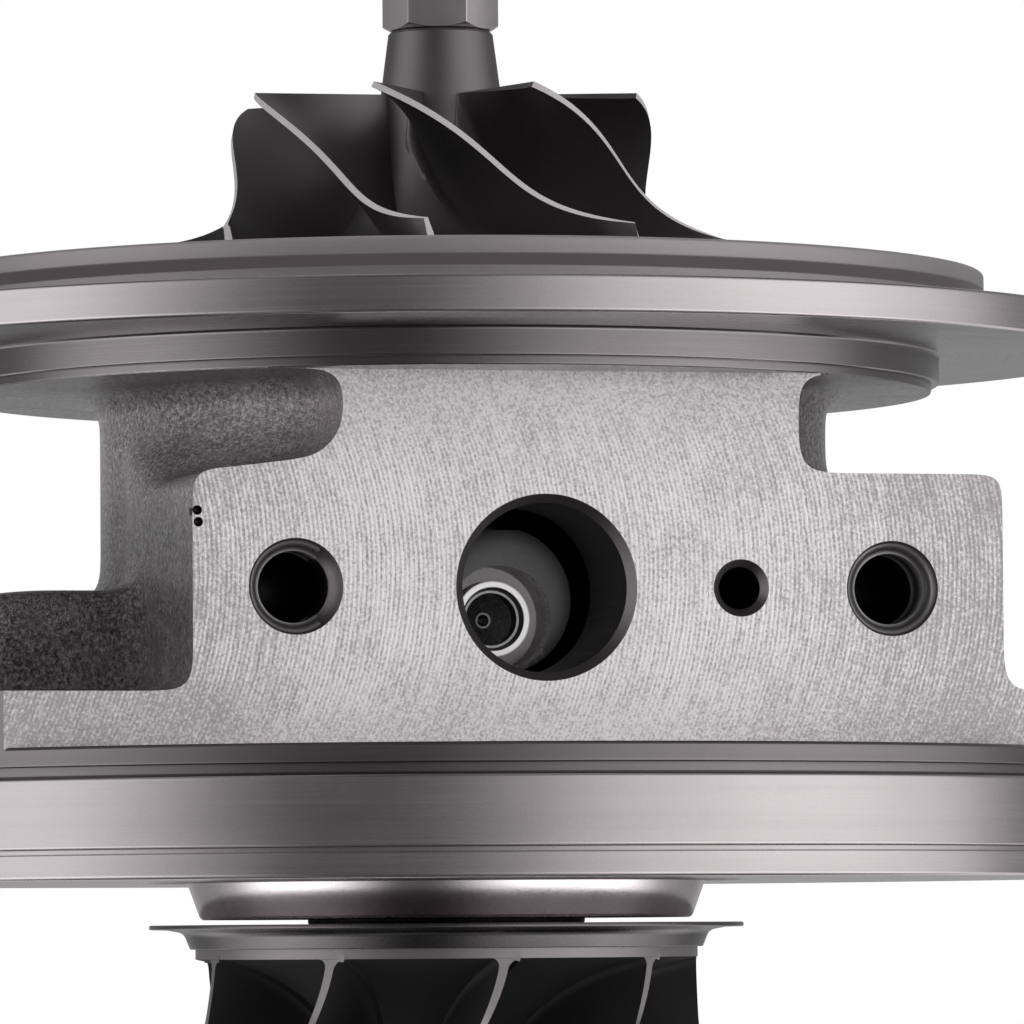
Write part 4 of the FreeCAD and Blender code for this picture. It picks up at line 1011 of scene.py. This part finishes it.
def blade(root_line, tip_line, root_turns, tip_turns, thickness, fillet, one_sided, finishes):
    """One blade with its fillet, sunk a little into the hub.

    A one-sided fillet lies on the hollow side only, and grows in from both ends.
    """
    rows = [-BLADE_SINK] + [fillet * share for share in FILLET_ROWS]
    bpy.ops.mesh.primitive_grid_add(
        x_subdivisions=48, y_subdivisions=len(rows) + UPPER_ROWS - 1, size=1
    )
    piece = settled("blade")
    group = piece.vertex_groups.new(name="thickness")
    root_thickness, tip_thickness = thickness
    widest = root_thickness + (fillet if one_sided else 2 * fillet)
    for vertex in piece.data.vertices:
        share = min(max(vertex.co.x + 0.5, 0), 1)
        root = on_wheel(root_line, root_turns, share)
        tip = on_wheel(tip_line, tip_turns, share)
        span = (tip - root).length
        row = round((vertex.co.y + 0.5) * (len(rows) + UPPER_ROWS - 1))
        if row < len(rows):
            height = rows[row]
        else:
            height = fillet + (span - fillet) * (row - len(rows) + 1) / UPPER_ROWS
        width = root_thickness + (tip_thickness - root_thickness) * max(height, 0) / span
        gap = min(max(fillet - height, 0), fillet)
        flare = fillet - math.sqrt(fillet**2 - gap**2)
        if one_sided:
            # The turn centres the blade without its fillet on the ruled sheet, and the
            # drop keeps the wide foot inside the round hub.
            flare *= min(share / FADE_SHARE, 1) * min((1 - share) / FADE_SHARE + 0.15, 1)
            turn = width / 2 / (root + (tip - root) * (height / span)).xy.length
            width += flare
            height -= width**2 / 2 / root.xy.length * gap / fillet
        else:
            # The blade's turn grows slowly near the hub, and faster towards the tip.
            width += 2 * flare
            rise = max(height / span, 0)
            lean = bezier(tip_turns, share) - bezier(root_turns, share)
            turn = math.radians(lean) * (rise**1.5 - rise)
        place = root + (tip - root) * (height / span)
        group.add([vertex.index], min(width / widest, 1), "REPLACE")
        vertex.co = Matrix.Rotation(turn, 3, "Z") @ place * MM
    for finish in finishes:
        piece.data.materials.append(finish)
    modify(
        piece,
        "SOLIDIFY",
        thickness=widest * MM,
        offset=1 if one_sided else 0,
        vertex_group="thickness",
        thickness_vertex_group=0,
        use_even_offset=False,
        material_offset_rim=1,
    )
    if one_sided:
        foot = on_wheel(root_line, root_turns, 0)
        edge = on_wheel(tip_line, tip_turns, 0) - foot
        for face in piece.data.polygons:
            off = face.center / MM - foot
            share = off.dot(edge) / edge.length_squared
            if share < TIP_SHARE and (off - edge * share).length < root_thickness:
                face.material_index = 0
    return piece


# %% Set the blades round a hub
def bladed(hub, one_blade, count_of_blades):
    """Joins equal blades to a hub."""
    for index in range(count_of_blades):
        copy = placed("blade_copy", one_blade.data.copy())
        copy.data.transform(Matrix.Rotation(2 * math.pi * index / count_of_blades, 4, "Z"))
        join(hub, copy)
    bpy.data.objects.remove(one_blade)


# %% [markdown]
# ## The compressor wheel
#
# Eight full blades sweep from an upright inlet to an exit that leans back. The hub is a
# curve that carries the air from along the shaft to straight outwards.

# %% Make the compressor wheel
NOSE_RADIUS = 5.2
HUB_LINE = [(6.0, 78.0), (6.55, 65.62), (10.2, 59.8), (28.0, 59.5)]
SHROUD_LINE = [(20.4, 77.6), (22.0, 74.95), (17.3, 66.0), (27.8, 63.6)]
WRAP = 61.1
PHASE = -78.5
tip_turns = [PHASE + WRAP * share for share in (0.0, 0.22, 0.65, 0.60, 1.0)]
root_turns = [PHASE + WRAP * share for share in (-0.07, 0.22, 0.80, 0.85, 1.04)]
wheel_finishes = (wheel_finish, ground_finish)
profile = [(3.02, 84.4), (NOSE_RADIUS - 0.25, 84.4), (NOSE_RADIUS, 84.15)]
profile += [tuple(bezier(HUB_LINE, step / 32)) for step in range(33)]
profile += [(28.0, 58.4), (8.0, 58.4), (8.0, 57.4), (3.02, 57.4)]
wheel = turned_piece("compressor_wheel_milled", profile, 144, ring=True)
for finish in wheel_finishes:
    wheel.data.materials.append(finish)
wheel_blade = blade(
    HUB_LINE, SHROUD_LINE, root_turns, tip_turns, (1.2, 0.6), 1.6, True, wheel_finishes
)
bladed(wheel, wheel_blade, 8)
finish_piece(wheel, wheel_finishes, None, "rotor", ["compressor_wheel"])

# %% [markdown]
# ## The turbine wheel
#
# Nine blades hang below a rim disc. Their inlet edges lie on the rim's own radius, and
# the fillets round the upper corners of the dark windows between them.

# %% Make the turbine wheel
TURBINE_HUB = [(24.72, -7.5), (15.83, -9.5), (8.7, -13.5), (7.2, -28.2)]
TURBINE_SHROUD = [(24.83, -14.5), (24.53, -18.5), (21.5, -18.5), (21.5, -28.2)]
TURBINE_WRAP = 42.0
TURBINE_PHASE = -1.0
LEAN = 5.7
DRIVE_FLATS = 9
root_turns = [TURBINE_PHASE, TURBINE_PHASE, TURBINE_PHASE - TURBINE_WRAP / 3,
              TURBINE_PHASE - TURBINE_WRAP * 0.8]
tip_turns = [TURBINE_PHASE - LEAN, TURBINE_PHASE - 2 * LEAN,
             TURBINE_PHASE - TURBINE_WRAP * 0.6, TURBINE_PHASE - LEAN - TURBINE_WRAP]
turbine_finishes = (turbine_finish, ground_alloy)
profile = [(0, -6.3), (24.68, -6.3), (24.83, -6.45), (24.83, -7.48)]
profile += [tuple(bezier(TURBINE_HUB, step / 32)) for step in range(33)]
profile += [(6.2, -30.2), (0, -30.2)]
turbine = turned_piece("turbine_wheel_cast", profile, 144)
drive = cylinder("drive", DRIVE_FLATS / math.sqrt(3), -33.7, -27, sides=6)
modify(drive, "BEVEL", width=0.25 * MM, segments=2, limit_method="ANGLE")
for piece in (turbine, drive):
    for finish in turbine_finishes:
        piece.data.materials.append(finish)
join(turbine, drive)
turbine_blade = blade(
    TURBINE_HUB, TURBINE_SHROUD, root_turns, tip_turns, (0.95, 0.6), 1.0, False,
    turbine_finishes,
)
bladed(turbine, turbine_blade, 9)
centres = face_facts(turbine)[0]
choice = np.zeros(len(centres), np.int32)
turbine.data.polygons.foreach_get("material_index", choice)
choice[(np.hypot(centres[:, 0], centres[:, 1]) > 24.5) & (centres[:, 2] > -7.45)] = 1
finish_piece(turbine, turbine_finishes, choice, "rotor", ["turbine_wheel"])

# %% [markdown]
# ## The lock nut
#
# A hexagon bar, turned at both ends: the turning tool cuts a cone across the corners,
# and leaves the round arcs that every nut shows. So a six-sided cylinder keeps only
# what it shares with a turned blank, and a narrow bevel breaks its edges.

# %% Make the nut
NUT_FLATS = 10.0
NUT_TURN = 12.5
corner = NUT_FLATS / math.sqrt(3)
nut = cylinder("lock_nut_turned", corner, 84.4, 92.4, sides=6)
nut.data.transform(Matrix.Rotation(math.radians(NUT_TURN), 4, "Z"))
blank = turned_piece(
    "blank",
    [(0, 84.4), (4.7, 84.4), (6.1, 85.15), (6.1, 91.65), (4.7, 92.4), (0, 92.4)],
    120,
)
combine(nut, blank, "INTERSECT")
cut(nut, turned_piece("nut_bore", [(0, 84), (3.02, 84), (3.02, 93), (0, 93)], 96))
modify(nut, "BEVEL", width=0.12 * MM, segments=2, limit_method="ANGLE", angle_limit=0.45)
finish_piece(nut, (nut_finish,), None, "rotor", ["lock_nut"])

# %% [markdown]
# ## The room
#
# Bare metal shows the room more than its own colour. In the photograph both sides are
# bright and the front is dim, which draws the dark bands on the flanges. So the sky's
# light follows its bearing: it is dim round the front, bright at both sides, and dim
# again behind. A belt low at the sides is brighter still. Reflections see the steep
# directions darker, and a little white straight behind. What the camera sees past the
# part is plain white.

# %% Light the room
world = bpy.data.worlds.new("room")
bpy.context.scene.world = world
world.use_nodes = True
world_tree = world.node_tree
sky = world_tree.nodes["Background"]
start = Value(world_tree)
direction = start.node("ShaderNodeTexCoord", out="Generated")
camera_ray = start.node("ShaderNodeLightPath", out="Is Camera Ray")
glossy_ray = start.node("ShaderNodeLightPath", out="Is Glossy Ray")
upright = start.node("ShaderNodeSeparateXYZ", None, {0: direction}, out="Z")
FRONT = -14.5
DIMMEST = FRONT - 14


def angle_from(bearing):
    """The angle in degrees between the sky's direction and this bearing, in plan."""
    flat = start.node(
        "ShaderNodeVectorMath", {"operation": "MULTIPLY"}, {0: direction, 1: (1, 1, 0)}
    )
    unit = start.node("ShaderNodeVectorMath", {"operation": "NORMALIZE"}, {0: flat})
    turn = math.radians(bearing)
    ahead = (math.sin(turn), -math.cos(turn), 0)
    along = start.node(
        "ShaderNodeVectorMath", {"operation": "DOT_PRODUCT"}, {0: unit, 1: ahead}, out="Value"
    )
    return along.math("ARCCOSINE") * (180 / math.pi)


valley = angle_from(DIMMEST).rise(8.0, 58.0)
from_front = angle_from(FRONT)
behind = from_front.rise(86.0, 118.0)
below = (0 - upright).rise(0.55, 0.85)
above = upright.rise(0.5, 0.85)
low_side = (0 - upright).rise(0.3, 0.5) * (1 - below) * valley
ends = (below + above) * glossy_ray * 0.7
level = (0.1 + valley * 0.88 - behind * 0.75) * (1 - ends) + low_side * 0.7
backdrop = glossy_ray * from_front.rise(150.0, 170.0) * (1 - below) * 0.2
white = (camera_ray + backdrop).clamped()
strength = level + (1 - level) * white
world_tree.links.new(strength.socket, sky.inputs["Strength"])
sky.inputs["Color"].default_value = (1, 1, 1, 1)
print("the sky takes", len(world_tree.nodes), "nodes")

# %% [markdown]
# Two wide soft lamps, one on each side, lift the metal's edges. The drain hole is so
# deep that hardly any light reaches its end, so a narrow beam lights the pin.

# %% Add two soft lamps
PART_MIDDLE = Vector((0, 0, 0.03))


def soft_lamp(name, bearing, rise, distance, size, watts):
    """An area lamp that points at the middle of the part."""
    data = bpy.data.lights.new(name, "AREA")
    data.shape = "RECTANGLE"
    data.size, data.size_y = size
    data.energy = watts
    lamp = placed(name, data)
    turn, rise = math.radians(bearing + FRONT), math.radians(rise)
    away = Vector(
        (math.sin(turn) * math.cos(rise), -math.cos(turn) * math.cos(rise), math.sin(rise))
    )
    lamp.location = PART_MIDDLE + away * distance
    lamp.rotation_mode = "QUATERNION"
    lamp.rotation_quaternion = away.to_track_quat("Z", "Y")


soft_lamp("left_lamp", -72, 12, 1.0, (0.5, 0.9), 0.1)
soft_lamp("right_lamp", 62, 12, 1.0, (0.5, 0.9), 0.3)

# %% Add a narrow lamp for the drain port
data = bpy.data.lights.new("port_lamp", "SPOT")
data.energy = 1.7
data.spot_size = math.radians(2.8)
data.spot_blend = 0.6
data.shadow_soft_size = 0.001
port_lamp = placed("port_lamp", data)
port_lamp.location = Vector((0.5, FACE_Y - 270, PORT_Z - 0.5)) * MM
port_lamp.rotation_euler = (math.radians(90), 0, 0)
print(len(bpy.data.lights), "lamps")

# %% [markdown]
# ## The floor
#
# The floor is white and takes the part's shadow. Far from the part it fades out for
# the camera, so no horizon shows, and reflections leave it out.

# %% Lay the floor
bpy.ops.mesh.primitive_circle_add(
    vertices=96, radius=1.1, fill_type="NGON", location=(0, 0, cad_low.z)
)
floor = settled("floor")
floor_finish, floor_shader, places = new_material("floor_white")
give(floor_shader, places, grey(0.8), 0.9, metallic=0.0)
tree = floor_finish.node_tree
ray = Value(tree).node("ShaderNodeLightPath", out="Is Camera Ray")
fade = places.radius.rise(250.0, 1000.0)
clear = Value(tree).node("ShaderNodeBsdfTransparent")
shaded = Value(tree, floor_shader.outputs[0])
mixed = Value(tree).node("ShaderNodeMixShader", None, {0: fade * ray, 1: shaded, 2: clear})
tree.links.new(mixed.socket, tree.nodes["Material Output"].inputs["Surface"])
floor.data.materials.append(floor_finish)
floor.visible_glossy = False
